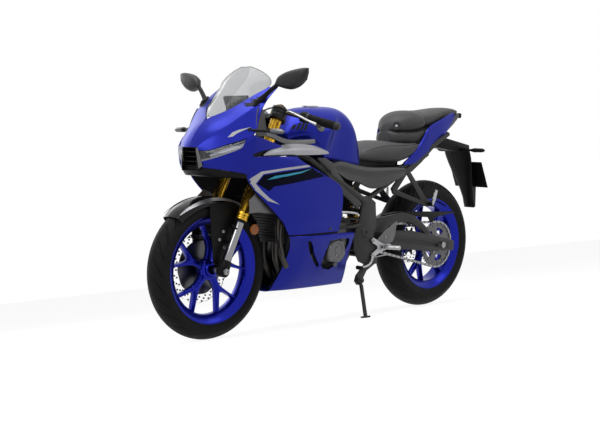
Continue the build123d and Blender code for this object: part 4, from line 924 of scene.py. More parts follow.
low_rows = [
    [(1099, 190, 425), (1076, 195, 425), (1020, 202, 425), (1000, 208, 424), (900, 208, 424), (790, 200, 424),
     (702, 184, 424)],
    [(1092, 190, 421), (1070, 197, 420), (1018, 208, 418), (996, 219, 416), (900, 220, 415), (790, 212, 415),
     (700, 195, 416)],
    [(1058, 160, 372), (1040, 170, 371), (1000, 184, 370), (980, 193, 370), (885, 200, 370), (790, 192, 370),
     (702, 178, 370)],
    [(1049, 112, 300), (1028, 124, 300), (985, 144, 300), (960, 152, 300), (870, 162, 300), (780, 158, 300),
     (690, 140, 300)],
    [(1060, 80, 232), (1030, 92, 231), (985, 107, 230), (950, 112, 230), (850, 119, 230), (755, 115, 230),
     (666, 105, 230)],
    [(1083, 53, 178), (1046, 60, 177), (1000, 67, 176), (950, 71, 176), (850, 76, 176), (745, 74, 176),
     (652, 70, 176)],
    [(1082, 30, 172), (1046, 32, 172), (1000, 34, 171), (950, 34, 171), (850, 36, 171), (745, 36, 171),
     (652, 34, 171)],
    [(1080, 0, 171), (1046, 0, 171), (1000, 0, 171), (950, 0, 171), (850, 0, 171), (745, 0, 171),
     (652, 0, 171)],
]
opening = [(868, 396), (872, 350), (866, 288), (845, 266), (800, 256), (760, 276), (740, 316), (724, 372),
           (732, 397), (800, 400)]
slot_line = [(1001, 402), (984, 400), (962, 378), (940, 346), (906, 312), (875, 283), (884, 276), (920, 304),
             (954, 336), (980, 368)]


def cut_openings(o, side, near):
    """Cuts the opening of the engine cover and the slot ahead of it, from y = near outwards."""
    return cut(o, *[plate("cut", [line], side * near, side * 260, "paint", 0.01)
                    for line in (opening, slot_line)])


for (side, name), o in zip(SIDES, pair("lower_cowl_panel", low_rows, "paint", 3, 4.0,
                                       creases={1: 0.5, 5: 0.8})):
    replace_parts(cut_openings(o, side, 60), "lower_cowl_" + name)

# stripes in (x, z), laid on the surface of the fairing and the hood
silver = [(1334, 655), (1308, 678), (1273, 702), (1210, 709), (1155, 715), (1011, 726), (1006, 717),
          (1154, 705), (1200, 700), (1262, 691), (1286, 652), (1252, 622), (1210, 590), (1160, 563),
          (1218, 580), (1278, 622), (1318, 648)]
navy = [(1280, 652), (1258, 687), (1200, 695), (1126, 702), (1000, 713), (952, 709), (906, 676), (985, 666),
        (1065, 656), (1140, 646), (1200, 639), (1219, 620), (1250, 636)]
streak = [(1240, 667), (1206, 683), (1150, 689), (1060, 699), (994, 710), (1058, 692), (1120, 683),
          (1170, 677), (1200, 672)]
slash = [(1394, 838), (1376, 858), (1356, 869), (1322, 880), (1352, 863), (1368, 853), (1380, 842)]
for k, (side, name) in enumerate(SIDES):
    flank = bvh_of(fairings[k], cheeks[k])
    drape("silver_stripe_" + name, silver, flank, "silver", side)
    drape("navy_band_" + name, navy, flank, "navy", side)
    drape("streak_" + name, streak, flank, "cyan", side, 0.9, 6)
    drape("hood_slash_" + name, slash, bvh_of(hoods[k]), "silver", side, 0.5, 6)

# ---------------------------------------------------------------- silver wing over a dark recess
pair("wing_trim", [
    [(1262, 208, 770), (1220, 210, 794), (1165, 206, 808), (1100, 199, 815), (1010, 188, 812),
     (930, 180, 804), (862, 167, 785)],
    [(1262, 211, 767), (1214, 218, 780), (1160, 218, 790), (1095, 213, 796), (1005, 203, 795),
     (925, 193, 790), (856, 173, 780)],
    [(1262, 211, 764), (1205, 219, 768), (1150, 220, 773), (1085, 216, 778), (1000, 207, 779),
     (920, 196, 777), (852, 175, 774)],
    [(1262, 206, 762), (1196, 212, 762), (1140, 212, 764), (1080, 208, 766), (995, 199, 766), (915, 188, 766),
     (848, 171, 769)],
], "silver", 3, 3.5, "side_trim", creases={1: 0.3})
pair("wing_recess", [
    [(1340, 200, 796), (1290, 196, 808), (1220, 190, 812), (1150, 184, 814), (1060, 176, 820),
     (960, 166, 816)],
    [(1342, 206, 780), (1292, 200, 788), (1225, 196, 794), (1150, 192, 800), (1060, 184, 804),
     (960, 174, 800)],
    [(1336, 206, 762), (1290, 202, 762), (1225, 200, 764), (1150, 198, 766), (1060, 194, 766),
     (960, 184, 766)],
], "black")
pair("cowl_tongue", [
    [(1326, 224, 844), (1298, 222, 841), (1264, 218, 832), (1218, 214, 820), (1180, 209, 810),
     (1150, 205, 803)],
    [(1332, 219, 806), (1300, 221, 808), (1264, 220, 808), (1218, 216, 806), (1180, 212, 804),
     (1150, 208, 801)],
    [(1336, 211, 768), (1300, 217, 780), (1264, 218, 788), (1218, 215, 793), (1180, 211, 797),
     (1150, 207, 799)],
], "paint")
pair("cowl_inner", [
    [(1318, 220, 846), (1312, 217, 870), (1304, 208, 905), (1294, 200, 936), (1284, 194, 956)],
    [(1276, 208, 842), (1270, 203, 870), (1264, 196, 905), (1258, 188, 936), (1254, 184, 954)],
    [(1240, 198, 846), (1238, 193, 872), (1237, 186, 905), (1237, 180, 934), (1238, 177, 950)],
], "cover")
pair("cowl_screen", [[(1250, 186, 888), (1205, 183, 876), (1165, 180, 862)],
                     [(1250, 189, 850), (1205, 187, 838), (1165, 184, 824)]], "black", 1, 2.5)
pair("cowl_sweep", [
    [(1248, 194, 872), (1210, 194, 860), (1163, 191, 843), (1106, 186, 828), (1029, 177, 829),
     (931, 166, 832)],
    [(1250, 198, 860), (1208, 198, 849), (1163, 196, 832), (1106, 190, 818), (1029, 181, 820),
     (931, 170, 824)],
    [(1244, 199, 848), (1204, 199, 838), (1163, 197, 821), (1106, 191, 808), (1029, 182, 810),
     (931, 171, 815)],
], "trim")


# black liners behind the painted panels
def inward(rows, amount, back=0.0):
    return [[(x - back, y - amount if y > amount else y * 0.5, z) for x, y, z in row] for row in rows]


pair("fairing_liner", inward(fairing_rows, 8), "black", 1, 1.0)
pair("hood_liner", inward([hood_top, hood_mid, shoulder, brow], 5, 6), "black", 1, 1.0)
pair("cheek_liner", inward([lamp_under, lip, lip_low], 5, 6), "black", 1, 1.0)
deep = inward([[(x, y, z + 6) for x, y, z in row] for row in low_rows[2:6]], 8)
for (side, name), o in zip(SIDES, pair("lower_liner", [low_rows[0]] + deep, "black", 1, 1.0)):
    cut_openings(o, side, 30)
# a black strip behind the gap between the side fairing and the lower cowl, standing in for the shade in that
# groove (painted shade)
pair("fairing_groove_shade", [[(1096, 188, 436), (1050, 197, 436), (960, 199, 436), (806, 190, 436)],
                        [(1094, 186, 422), (1050, 195, 422), (960, 199, 422), (806, 190, 422)]], "black", 1,
     1.0)


# ---------------------------------------------------------------- tank, seats and tail
def ring(x, half):
    """A closed section across the bike from its left half of (y, z) or (y, z, shift along X)."""
    left = [(x + (p[2] if len(p) > 2 else 0), p[0], p[1]) for p in half]
    return left + [(a, -b, c) for a, b, c in reversed(left[1:-1])]


def shell_body(name, sections, mat, creases, levels=3, angle=80):
    """A closed body through sections across the bike, with creases {point of the left half: sharpness}."""
    n = 2 * len(sections[0][1]) - 2
    both = {c: v for left, v in creases.items() for c in (left, n - left)}
    return grid_piece(name, [ring(x, half) for x, half in sections], mat, levels=levels, thick=0,
                      col_creases=both, closed=True, angle=angle)


def cylinder(name, centre, r, h):
    n, c = 48, Vector(centre)
    verts = [c + Vector((r * cos(2 * pi * k / n), r * sin(2 * pi * k / n), z))
             for z in (0, h) for k in range(n)]
    faces = [(k, (k + 1) % n, (k + 1) % n + n, k + n) for k in range(n)]
    faces += [tuple(range(n)), tuple(range(n, 2 * n))]
    return add(name, verts, faces, "paint")


tank_rows = [
    (1012, [(0, 862), (30, 861), (56, 854), (77, 842), (80, 824), (60, 806), (0, 804)]),
    (962, [(0, 934), (38, 932), (74, 919), (106, 892), (118, 850), (94, 804), (0, 800)]),
    (915, [(0, 962), (46, 959), (92, 941), (136, 902), (150, 852), (118, 790), (0, 784)]),
    (860, [(0, 972), (52, 969), (98, 951), (150, 908), (162, 852), (122, 772), (0, 766)]),
    (812, [(0, 974), (54, 971), (100, 955), (156, 912), (164, 850, 20), (124, 754, 30), (0, 750)]),
    (772, [(0, 976), (52, 973), (98, 960), (151, 922), (158, 862, 38), (122, 744, 50), (0, 742)]),
    (745, [(0, 977), (48, 974), (90, 964), (136, 932), (136, 876, 36), (117, 740, 50), (0, 738)]),
    (700, [(0, 977), (44, 974), (80, 966), (123, 938), (130, 884, 10), (112, 730, 20), (0, 728)]),
    (655, [(0, 962), (40, 959), (72, 950), (112, 924), (124, 876), (112, 722), (0, 722)]),
    (624, [(0, 930), (36, 927), (64, 918), (104, 898), (118, 866), (108, 718), (0, 722)]),
    (597, [(0, 872), (32, 870), (58, 862), (92, 846), (106, 822), (104, 714), (0, 720)]),
    (572, [(0, 802), (30, 800), (52, 798), (80, 794), (92, 780), (98, 712), (0, 720)]),
]
tank = shell_body("tank_shell", tank_rows, "paint", {4: 0.35, 5: 0.9}, angle=75)
cut(tank, cylinder("cap_seat", (800, 0, 966), 42, 40), cylinder("neck", (800, 0, 896), 24, 80))
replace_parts(tank, "fuel_tank")
tank_tree = bvh_of(tank)
for side, name in SIDES:
    # four slits on each side: films of gloss black laid on the paint, standing in for the shade inside recessed
    # slots (painted shade)
    for k, high in enumerate(((970, 893), (952, 902), (938, 906), (926, 907))):
        x, z = 984 - 12 * k, 874 - 2 * k
        slit = [(x + 4, z), (x - 4, z), (high[0] - 4.5, high[1]), (high[0] + 4, high[1])]
        drape("tank_slit_painted_shade_%s_%d" % (name, k), slit, tank_tree, "gloss", side, 0.5, 5)
    hit, normal, _, _ = tank_tree.ray_cast(Vector((878, side * 400, 884)), Vector((0, -side, 0)))
    badge = [(0.01, 2.2), (12, 2.4), (15, 1.6), (16, 3.4), (19.5, 3.4), (21, 1.8), (21, -1.5)]
    lathe("tank_badge_" + name, badge, "disc", hit, normal if normal.y * side > 0 else -normal, 40)

seat_rows = [
    (598, [(0, 750), (20, 749), (36, 745), (44, 739), (30, 732), (0, 730)]),
    (572, [(0, 768), (34, 766), (60, 756), (72, 743), (56, 728), (0, 726)]),
    (520, [(0, 797), (54, 794), (92, 776), (108, 745), (90, 719), (0, 719)]),
    (470, [(0, 817), (62, 813), (108, 792), (129, 748), (104, 714), (0, 719)]),
    (430, [(0, 827), (68, 823), (118, 800), (139, 750), (112, 712), (0, 719)]),
    (380, [(0, 828), (74, 824), (126, 804), (146, 753), (118, 712), (0, 719)]),
    (330, [(0, 824), (78, 820), (132, 803), (147, 757), (116, 714), (0, 719)]),
    (280, [(0, 817), (80, 815), (132, 805), (142, 771), (110, 724), (0, 726)]),
    (230, [(0, 817), (80, 814), (132, 806), (137, 782), (106, 734), (0, 736)]),
    (195, [(0, 822), (74, 820), (124, 812), (127, 796), (98, 756), (0, 756)]),
    (176, [(0, 822), (66, 820), (112, 810), (116, 796), (88, 768), (0, 768)]),
]
seat = shell_body("seat_pad", seat_rows, "seat", {2: 0.32})
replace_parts(seat, "rider_seat")


def on_surface(tree, points, lift):
    """Points of a line moved on to a surface."""
    near = [tree.find_nearest(Vector(p)) for p in points]
    return [point + normal * lift for point, normal, _, _ in near]


seam_line = catmull([(x, half[2][0] * 0.97, half[2][1] + 0.2) for x, half in seat_rows[2:]], 4)
seat_tree = bvh_of(seat)
for side, name in SIDES:
    line = on_surface(seat_tree, [(x, y * side, z) for x, y, z in seam_line], 0.1)
    tube("seat_seam_" + name, line, 1.1, "rubber", n=6, steps=0)

core_rows = [
    (300, [(0, 872), (20, 871), (36, 858), (42, 826), (32, 806), (0, 806)]),
    (286, [(0, 873), (38, 871), (60, 856), (68, 826), (54, 804), (0, 804)]),
    (250, [(0, 877), (62, 875), (88, 858), (96, 828), (72, 800), (0, 800)]),
    (180, [(0, 884), (80, 881), (108, 860), (114, 832), (92, 790), (0, 790)]),
    (40, [(0, 905), (72, 901), (98, 882), (98, 840), (62, 800), (0, 800)]),
    (-120, [(0, 940), (52, 937), (74, 925), (74, 890), (52, 858), (0, 858)]),
    (-232, [(0, 968), (30, 966), (40, 960), (40, 948), (30, 940), (0, 938)]),
]
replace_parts(shell_body("tail_shell", core_rows, "grey", {2: 0.4}, 2, 60), "tail_core")
hump_rows = [
    (288, [(0, 904), (14, 903), (22, 896), (26, 885), (20, 874), (0, 870)]),
    (278, [(0, 926), (32, 923), (50, 908), (57, 884), (46, 868), (0, 866)]),
    (256, [(0, 946), (50, 941), (74, 919), (83, 888), (68, 864), (0, 862)]),
    (226, [(0, 961), (60, 955), (92, 929), (104, 892), (86, 864), (0, 864)]),
    (190, [(0, 972), (68, 966), (107, 938), (118, 900), (98, 868), (0, 868)]),
    (146, [(0, 974), (70, 968), (110, 942), (121, 908), (98, 874), (0, 872)]),
    (128, [(0, 970), (67, 964), (106, 940), (116, 908), (94, 878), (0, 876)]),
]
hump = shell_body("hump_cover", hump_rows, "hump", {2: 0.25})
pillion_rows = [
    (127, [(0, 970), (66, 964), (104, 941), (110, 915), (86, 886), (0, 882)]),
    (112, [(0, 974), (67, 968), (105, 944), (110, 916), (86, 886), (0, 882)]),
    (60, [(0, 975), (64, 969), (100, 948), (103, 920), (80, 890), (0, 888)]),
    (0, [(0, 982), (57, 977), (88, 959), (91, 934), (66, 902), (0, 900)]),
    (-60, [(0, 990), (48, 986), (74, 970), (76, 946), (52, 912), (0, 910)]),
    (-140, [(0, 993), (39, 990), (56, 979), (58, 960), (40, 934), (0, 930)]),
    (-200, [(0, 987), (30, 985), (42, 977), (43, 969), (30, 952), (0, 950)]),
    (-214, [(0, 982), (26, 980), (36, 975), (37, 969), (27, 955), (0, 953)]),
]
pillion = shell_body("pillion_pad", pillion_rows, "seat", {2: 0.3})
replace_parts(pillion, "pillion_seat")
hit, normal, _, _ = bvh_of(hump).find_nearest(Vector((304, 76, 898)))
lathe("seat_lock", [(0.01, 4.5), (6.5, 4.5), (7.5, 3.0), (14, 3.0), (16, 5.0), (20, 5.0), (22, 2.0),
                    (22, -4)], "dark", hit, normal, 36)
lathe("seat_lock_core", [(0.01, 6.0), (5.5, 6.0), (6.5, 5.0), (6.5, 2)], "steel", hit, normal, 24)

# tail panels: (x, y, lower edge, upper edge)
tail_stations = [(296, 128, 710, 722), (262, 127, 708, 742), (220, 126, 713, 772), (180, 124, 732, 800),
                 (146, 121, 750, 832), (112, 118, 766, 886), (60, 112, 794, 908), (0, 106, 824, 926),
                 (-41, 100, 850, 939), (-90, 90, 890, 954), (-136, 80, 934, 966)]
rows = [[(x, y - 7, lo), (x, y + 0.5, lo + 3), (x, y + 1.5, lo + (hi - lo) * 0.45), (x, y - 2, hi - 4),
         (x, y - 8, hi)] for x, y, lo, hi in tail_stations]
pair("tail_panel", rows, "paint", 3, 3.5, "tail_side", col_creases={1: 0.6, 3: 0.6})
strip = [(327, 641), (305, 650), (296, 700), (262, 704), (219, 709), (150, 745), (88, 800), (30, 832),
         (-40, 862), (-46, 848), (50, 800), (65, 788), (153, 722), (219, 681), (270, 661)]
pair_of_plates("tail_under", [strip], 104, 117, "frame", 3)
grid_piece("tail_inner_right", [[(238, -102, 832), (240, -100, 862), (232, -96, 900)],
                                [(210, -110, 832), (208, -110, 868), (202, -106, 904)],
                                [(176, -116, 838), (172, -116, 874), (168, -112, 906)]], "paint", thick=4)
# the apron of the rear fender: (x, z, half of its width)
fender_line = [(-262, 788, 74), (-268, 764, 80), (-285, 728, 76), (-300, 690, 68), (-322, 640, 54),
               (-345, 590, 38), (-382, 480, 20)]
rows = [[(x - 8, -w, z), (x + 2, -0.8 * w, z), (x + 5, 0, z), (x + 2, 0.8 * w, z), (x - 8, w, z)]
        for x, z, w in fender_line]
grid_piece("fender_apron", rows, "black", thick=6.0)
for side, name in SIDES:
    tube("fender_rib", [(x + 4, side * w * 0.5, z) for x, z, w in fender_line[1:]], 5, "gloss", n=8)

# side covers: four lines in (x, z) from the top edge down, each at its own y, and an edge turned in
cover_lines = [
    [(806, 720), (774, 729), (738, 737), (678, 724), (612, 710), (548, 703), (460, 701), (375, 703),
     (308, 698)],
    [(800, 712), (771, 716), (730, 718), (676, 706), (612, 694), (546, 688), (458, 688), (376, 692),
     (304, 691)],
    [(786, 698), (762, 696), (716, 688), (668, 676), (611, 667), (544, 660), (455, 664), (379, 676),
     (302, 683)],
    [(770, 688), (744, 674), (704, 650), (664, 648), (626, 640), (540, 602), (472, 612), (404, 634),
     (314, 664)],
]
solid = [[(x, y, z) for x, z in line] for y, line in zip((139, 147, 144, 150), cover_lines)]
solid.append([(x, 138, z - 1) for x, z in cover_lines[3]])
shelf = [[(x, y, z + rise) for x, z in cover_lines[0]] for y, rise in ((98, 9), (120, 5))]
pair("cover_shelf", shelf + [solid[0]], "black", thick=2.5)
pair("seat_base", [[(600, 94, 700), (500, 96, 696), (400, 98, 696), (310, 98, 696)],
                   [(600, 94, 728), (500, 96, 728), (400, 98, 728), (310, 98, 728)]], "black", 1, 2.5)
pair("side_cover_panel", solid, "cover", 3, 3.0, "side_cover", creases={1: 0.4, 2: 0.55, 3: 0.75})

# ---------------------------------------------------------------- windscreen and mirrors
COWL_X = 1380
# screen: (z, left half of the section as (x from COWL_X, y))
screen_rows = [
    (921, [(0, 0), (-2, 10), (-6, 20)]), (957, [(-33, 0), (-38, 44), (-62, 88)]),
    (1000, [(-70, 0), (-82, 64), (-122, 124)]), (1045, [(-112, 0), (-130, 84), (-192, 163)]),
    (1072, [(-138, 0), (-153, 92), (-206, 160)]), (1100, [(-166, 0), (-175, 68), (-207, 122)]),
    (1120, [(-187, 0), (-191, 38), (-205, 74)]), (1132, [(-199, 0), (-200, 14), (-203, 28)]),
]
rows = []
for z, half in screen_rows:
    line = [(COWL_X + x, y, z) for x, y in half]
    rows.append([(x, -y, z) for x, y, z in reversed(line[1:])] + line)
screen = grid_piece("screen_pane", rows, "glass", levels=3, thick=2.5, angle=80)
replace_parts(screen, "windscreen")
edge = catmull([r[-1] for r in rows] + [r[0] for r in rows[::-1]], 5)
tube("screen_rim", on_surface(bvh_of(screen), edge, 0.2), 1.3, "cover", n=6, steps=0)

# mirrors: sections out along y, as (y, x from COWL_X, z, half depth, half height)
mirror_rows = [(246, -148, 1052, 9, 8), (262, -151, 1064, 17, 22), (292, -156, 1067, 22, 35),
               (316, -161, 1069, 24, 39), (352, -166, 1077, 24, 38), (384, -170, 1091, 18, 26),
               (400, -172, 1105, 9, 10)]
OVAL = mirrored([(1, 0.35), (0.72, 0.8), (0, 1), (-0.8, 0.98), (-1, 0.8)])
rows = [[(COWL_X + x + hx * a, y, z + hz * b) for a, b in OVAL] for y, x, z, hx, hz in mirror_rows]
pair("mirror_shell", rows, "frame", 2, 0, "mirror", closed=True, creases={1: 0.4, 3: 0.3, 5: 0.5},
     col_creases={4: 0.5, 5: 0.5}, angle=60)
rows = [[(COWL_X + x - hx - 0.6, y, z + hz * b * 0.72) for b in (1, 0.4, -0.4, -1)]
        for y, x, z, hx, hz in mirror_rows[1:-1]]
pair("mirror_glass", rows, "chrome", thick=1.0)
pair_of_tubes("mirror_stalk", [(1256, 170, 984), (1246, 196, 1008), (1232, 244, 1046), (1226, 280, 1066)],
              [15, 10, 9, 11], "black")
foot = [(1288, 966), (1276, 990), (1252, 1004), (1228, 1002), (1240, 980), (1264, 962)]
pair_of_plates("mirror_foot", [foot], 160, 182, "black", 8)
socket = [(1300, 962), (1292, 988), (1262, 1012), (1244, 1004), (1252, 984), (1276, 966)]
for (side, name), hood in zip(SIDES, hoods):
    drape("mirror_socket_" + name, socket, bvh_of(hood), "black", side, 0.8)
for k, (x, z) in enumerate(((1268, 964), (1232, 1004))):
    pair_of_bolts("mirror_bolt", (x, 186, z), 6, 4, "dark", end="_%d" % k)

# ---------------------------------------------------------------- frame, engine and rear details
RAIL = 12
rail_parts = [tube("rail", [(x, -112, z), (x, 112, z)], RAIL, "frame", n=16) for x, z in
              ((300, 700), (110, 762), (585, 690))]
rail_runs = ([(545, 124, 560), (110, 112, 762)],
             [(600, 112, 690), (450, 112, 695), (300, 112, 701), (100, 90, 770), (-120, 55, 858)])
bracket = [(258, 698), (312, 674), (384, 602), (370, 577), (116, 506), (92, 510), (90, 530), (130, 552),
           (250, 680)]
bracket_hole = [(272, 668), (338, 598), (330, 589), (168, 541)]
gusset = [(330, 650), (390, 628), (390, 700), (330, 700)]
for side, name in SIDES:
    for run in rail_runs:
        rail_parts.append(tube("rail", [(x, side * y, z) for x, y, z in run], RAIL, "frame", n=16))
    rail_parts.append(plate("rail", [gusset], side * 106, side * 134, "frame", 2))
    rail_parts.append(plate("rail", [bracket, bracket_hole], side * 119, side * 129, "frame", 3))
    for x, z in ((308, 668), (372, 592)):
        rail_parts.append(lathe("rail", [(0.01, 5), (7, 5), (9, 3), (9, 0)], "frame", (x, side * 129, z),
                                (0, side, 0), 18))
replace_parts(joined("seat_rails", rail_parts), "subframe")
pair_of_rounds("peg_hinge", [(0.01, 26), (9, 26), (11, 23), (11, 0)], "black", (104, 126, 520), 20)
pair_of_tubes("pillion_peg", [(104, 146, 516), (98, 152, 545), (86, 158, 588)], [7, 9.5, 6.5], "alloy")
# spar over the frame tube, with the dark insert under the silver wing, and the post behind the engine
spar = [(895, 751), (846, 751), (795, 728), (769, 688), (717, 638), (637, 578), (606, 540), (636, 516),
        (689, 560), (767, 607), (819, 661), (870, 712)]
pair_of_plates("frame_spar", [spar], 137, 152, "cover", 5)
pair_of_plates("spar_insert", [[(888, 741), (858, 722), (816, 696), (806, 676), (842, 692)]], 150, 154,
               "black", 1.5)
post = [(618, 533), (556, 500), (541, 456), (546, 411), (508, 326), (531, 274), (584, 262), (632, 280),
        (668, 338), (672, 392), (655, 436), (633, 471)]
pair_of_plates("frame_post", [post], 150, 162, "frame", 5)
pair_of_rounds("pivot_nut", [(0.01, 5), (7, 5), (9, 9), (16, 9), (18, 6), (22, 3), (24, 0)], "dark",
               (600, 162, 412), 32)
shroud = [(1301, 584), (1268, 611), (1235, 600), (1191, 569), (1145, 522), (1201, 527), (1256, 533),
          (1300, 530)]
pair_of_plates("radiator_shroud", [shroud], 166, 170, "brushed", 1.5)
# hoses, rails and the breather beside the engine
pair_of_tubes("side_rail_upper", [(872, 178, 476), (786, 182, 477), (709, 180, 480), (640, 168, 468)], 6,
              "black", 10)
pair_of_tubes("side_rail_lower", [(872, 182, 450), (785, 186, 446), (708, 184, 447), (650, 176, 452)], 8,
              "gloss")
pair_of_tubes("side_pipe", [(790, 160, 512), (740, 166, 510), (690, 166, 506), (648, 160, 498)], 6.5, "alloy")
cover = [(0.01, 6), (16, 6), (18, 3), (30, 3), (32, 6), (42, 6), (47, 3), (52, -3), (54, -10), (54, -36)]
COVER_X, COVER_Z, COVER_BOLTS_R = 802, 348, 48
pair_of_rounds("engine_cover", cover, "brushed", (COVER_X, 186, COVER_Z), 56)
for k in range(6):
    a = radians(20 + 60 * k)
    at = (COVER_X + COVER_BOLTS_R * cos(a), 184, COVER_Z + COVER_BOLTS_R * sin(a))
    pair_of_bolts("engine_cover_bolt", at, 5, 5, end="_%d" % k)
pair_of_tubes("engine_cover_line", [(802, 190, 346), (812, 190, 322), (818, 188, 304)], 1.6, "steel", 6)
pair_of_rounds("drain_boss", [(0.01, 8), (9, 8), (12, 5), (12, 0)], "engine", (800, 170, 286), 20)
# cooling hoses beside the radiator
for side, name in SIDES:
    for k, (radius, line) in enumerate(((15, [(1056, 520), (1078, 460), (1071, 392), (1048, 322)]),
                                        (13, [(1031, 500), (1065, 431), (1075, 364), (1039, 284)]),
                                        (9, [(1078, 470), (1084, 400), (1070, 340)]))):
        tube("front_hose_%s_%d" % (name, k), [(x, side * (104 + 10 * k), z) for x, z in line], radius, "pipe",
             n=14)
# dark covers inside the frame, ahead of the shock absorber
pair("frame_liner", [[(792, 84, 690), (700, 86, 694), (606, 86, 690)],
                     [(800, 90, 600), (700, 92, 600), (604, 92, 610)],
                     [(800, 88, 500), (720, 90, 490), (640, 88, 500)]], "black", 1, 2.5)
# the tubes of the radiator's core
CORE_X, CORE_Z, CORE_PITCH = 1081, 402, 12.2
for k in range(17):
    z = CORE_Z + k * CORE_PITCH
    rows = [[(CORE_X + out, y, z + up) for y in (-126, 126)] for out, up in ((0, 0), (2.5, 2), (0, 4))]
    grid_piece("radiator_tube_%d" % k, rows, "fins", levels=0, thick=1.0)

# heel guards, footrests and the gear linkage
arm = [(562, 374), (548, 386), (500, 364), (470, 354), (430, 350), (424, 340), (432, 330), (478, 322),
       (500, 316), (546, 295), (562, 303), (556, 314), (520, 334), (520, 346), (552, 360)]
arms = pair_of_plates("footrest_arm", [arm, ring_points(488, 340, 7, 16)], 163.5, 171, "alloy", 2)
for (side, name), o in zip(SIDES, arms):
    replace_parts(o, "footrest_" + name)
    for k in range(5):
        lathe("peg_rib_%s_%d" % (name, k), [(9.5, -2), (11.4, -1.4), (11.4, 1.4), (9.5, 2)], "alloy",
              (459 - k * 4.4, side * (195 + k * 9.6), 337.8), (-0.42, side * 0.9, 0), 16, closed=True)
guard = [(387, 454), (398, 450), (470, 412), (521, 374), (515, 366), (463, 345), (414, 362), (400, 390)]
pair_of_plates("heel_guard", [guard], 166, 171, "trim", 1.8)
for x, z in ((552, 372), (550, 304), (470, 384)):
    pair_of_bolts("footrest_bolt", (x, 170.5, z), 6, 5, end="_%d_%d" % (x, z))
pair_of_tubes("footrest_peg", [(470, 172, 338), (462, 190, 338), (440, 238, 337)], [8, 10.5, 9], "alloy", 14)
pair_of_tubes("pedal_arm", [(548, 169, 306), (566, 171, 272), (600, 172, 259), (655, 173, 258)],
              [7, 5.5, 5, 5], "alloy", 10)
pair_of_rounds("pedal_tip", [(0.01, 34), (7, 34), (9, 32), (9, 2), (7, 0), (0.01, 0)], "rubber",
               (655, 168, 258), 18)
pair_of_tubes("linkage_rod", [(560, 158, 292), (500, 158, 296), (420, 152, 300)], 3.2, "steel", 8)
lathe("rear_axle_nut", [(0.01, 10), (6, 10), (8, 7), (16, 7), (18, 4), (24, 3), (26, 0)], "steel",
      (0, 122, REAR_Z), (0, 1, 0), 6)
tube("chain_adjuster", [(-60, 118, 308), (-98, 118, 301)], [5, 7], "steel", n=10)
plate("swingarm_plate", [[(-34, 296), (-30, 338), (34, 344), (40, 300)]], 117, 121, "dark", 1.2)
# spring of the shock absorber, across the line from its foot to its head
COILS, STEPS, SPRING_R = 8, 12, 30
spring = []
for k in range(COILS * STEPS + 1):
    a, share = 2 * pi * k / STEPS, k / (COILS * STEPS)
    base = Vector((500, 0, 446)) * (1 - share) + Vector((568, 0, 646)) * share
    spring.append(base + Vector((cos(a) * SPRING_R * 0.95, sin(a) * SPRING_R, -cos(a) * SPRING_R * 0.32)))
tube("shock_spring", spring, 5.0, "gold", n=8, steps=0)

# ---------------------------------------------------------------- the CAD pieces that show
for name, finish, width in (
        ("main_frame", "frame", 2.5), ("engine", "engine", 3.0), ("radiator", "frame", 2.0),
        ("fairing_stays", "dark", 0.5), ("exhaust", "pipe", 1.0), ("cowl_stay", "black", 2.0),
        ("nose_duct", "black", 1.0), ("instrument_panel", "black", 5.0), ("swingarm", "frame", 3.0),
        ("shock_absorber", "steel", 1.5), ("chain_guard", "black", 1.0), ("rear_fender", "black", 4.0),
        ("number_plate", "black", 0.6), ("side_stand", "frame", 2.0), ("rear_signals", "black", 2.0),
        ("lower_clamp", "frame", 2.5), ("upper_clamp", "frame", 2.5), ("front_axle", "steel", 1.0),
        ("rear_axle", "steel", 1.0), ("front_caliper", "frame", 4.0), ("rear_caliper", "frame", 3.0),
        ("handlebar_left", "frame", 1.0), ("handlebar_right", "frame", 1.0), ("fuel_cap", "steel", 1.5)):
    dress(name, finish, width)
dress("tail_light", "red", 2.0, others=[("black", lambda c: c.x > -246)])
dress("front_signals", "black", 2.0, others=[("trim", lambda c: abs(c.y) > 292)])


# ---------------------------------------------------------------- floor, light and camera
def seen_directly(t):
    """One for a ray by which the camera sees a surface, straight or through gloss or glass, else zero."""
    path = node(t, "ShaderNodeLightPath")
    return math_node(t, "MAXIMUM", path.outputs["Is Camera Ray"],
                     math_node(t, "MAXIMUM", path.outputs["Is Glossy Ray"],
                               path.outputs["Is Transmission Ray"]))


def floor_material(name, grey, glow):
    """A pale surface that keeps shadows and shows white."""
    m = bpy.data.materials.new(name)
    t, out = empty_tree(m, "ShaderNodeOutputMaterial")
    d = node(t, "ShaderNodeBsdfDiffuse", Color=(grey, grey, grey, 1))
    e = node(t, "ShaderNodeEmission")
    t.links.new(math_node(t, "MULTIPLY", seen_directly(t), glow), e.inputs["Strength"])
    both = node(t, "ShaderNodeAddShader")
    t.links.new(d.outputs[0], both.inputs[0])
    t.links.new(e.outputs[0], both.inputs[1])
    t.links.new(both.outputs[0], out.inputs[0])
    return m


FLOOR_HALF = 30
me = bpy.data.meshes.new("floor")
corners = [(x * FLOOR_HALF, y * FLOOR_HALF, 0) for x, y in ((-1, -1), (1, -1), (1, 1), (-1, 1))]
me.from_pydata(corners, [], [(0, 1, 2, 3)])
me.materials.append(floor_material("pale_floor", 0.25, 0.88))
floor = bpy.data.objects.new("floor", me)
bpy.context.scene.collection.objects.link(floor)

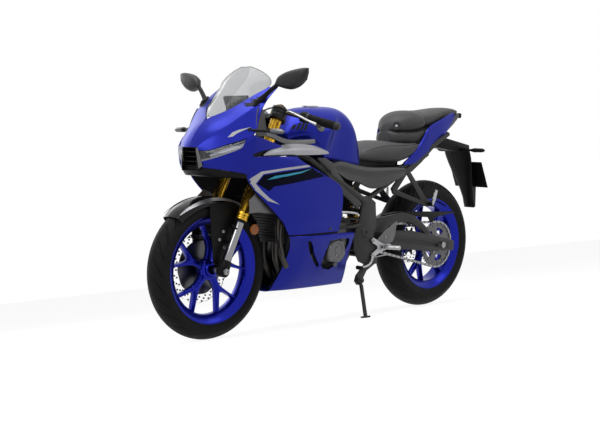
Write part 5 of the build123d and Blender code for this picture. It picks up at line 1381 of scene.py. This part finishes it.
WORLD_LIGHT = 0.27
world = bpy.data.worlds.new("studio")
bpy.context.scene.world = world
t, out = empty_tree(world, "ShaderNodeOutputWorld")
back = node(t, "ShaderNodeBackground", Color=(1, 1, 1, 1))
strength = math_node(t, "MULTIPLY_ADD", seen_directly(t), 1.0 - WORLD_LIGHT, WORLD_LIGHT)
t.links.new(strength, back.inputs["Strength"])
t.links.new(back.outputs[0], out.inputs[0])

for name, at, to, size, power in (
        ("overhead", (0.6, 0.3, 3.4), (0.1, 0, 0.5), (2.6, 1.6), 60),
        ("front_left", (4.0, 1.1, 2.4), (0.4, 0, 0.6), (1.6, 1.6), 36),
        ("rear_left", (-2.2, 3.0, 2.2), (-0.3, 0, 0.5), (1.4, 1.8), 16),
        ("far_side", (0.5, -3.2, 2.4), (0.2, 0, 0.6), (2.4, 1.4), 20)):
    data = bpy.data.lights.new(name, "AREA")
    data.shape = "RECTANGLE"
    data.size, data.size_y = size
    data.energy = power
    o = bpy.data.objects.new(name, data)
    bpy.context.scene.collection.objects.link(o)
    o.location = at
    o.rotation_euler = (Vector(to) - Vector(at)).to_track_quat("-Z", "Y").to_euler()

# the camera, set in the bike frame in mm and degrees; focal is in pixels of a picture 600 wide
azimuth, elevation, roll = radians(135.96), radians(4.63), radians(0.77)
target, distance, focal, picture_width = Vector((851.19, 0, 492.06)), 4820.0, 1080.48, 600.0
away = Vector((sin(azimuth) * cos(elevation), -cos(azimuth) * cos(elevation), sin(elevation)))
right = Vector((0, 0, 1)).cross(away).normalized()
up = away.cross(right)
right, up = right * cos(roll) + up * sin(roll), up * cos(roll) - right * sin(roll)
camera = bpy.data.cameras.new("camera")
camera.sensor_width = 36.0
camera.lens = camera.sensor_width * focal / picture_width
camera.clip_end = 100
view = bpy.data.objects.new("camera", camera)
bpy.context.scene.collection.objects.link(view)
facing = Matrix((right, up, away)).transposed().to_4x4()
view.matrix_world = Matrix.Translation(BIKE @ (target + away * distance)) @ TURN @ facing
bpy.context.scene.camera = view
bpy.context.scene.view_settings.view_transform = "Standard"
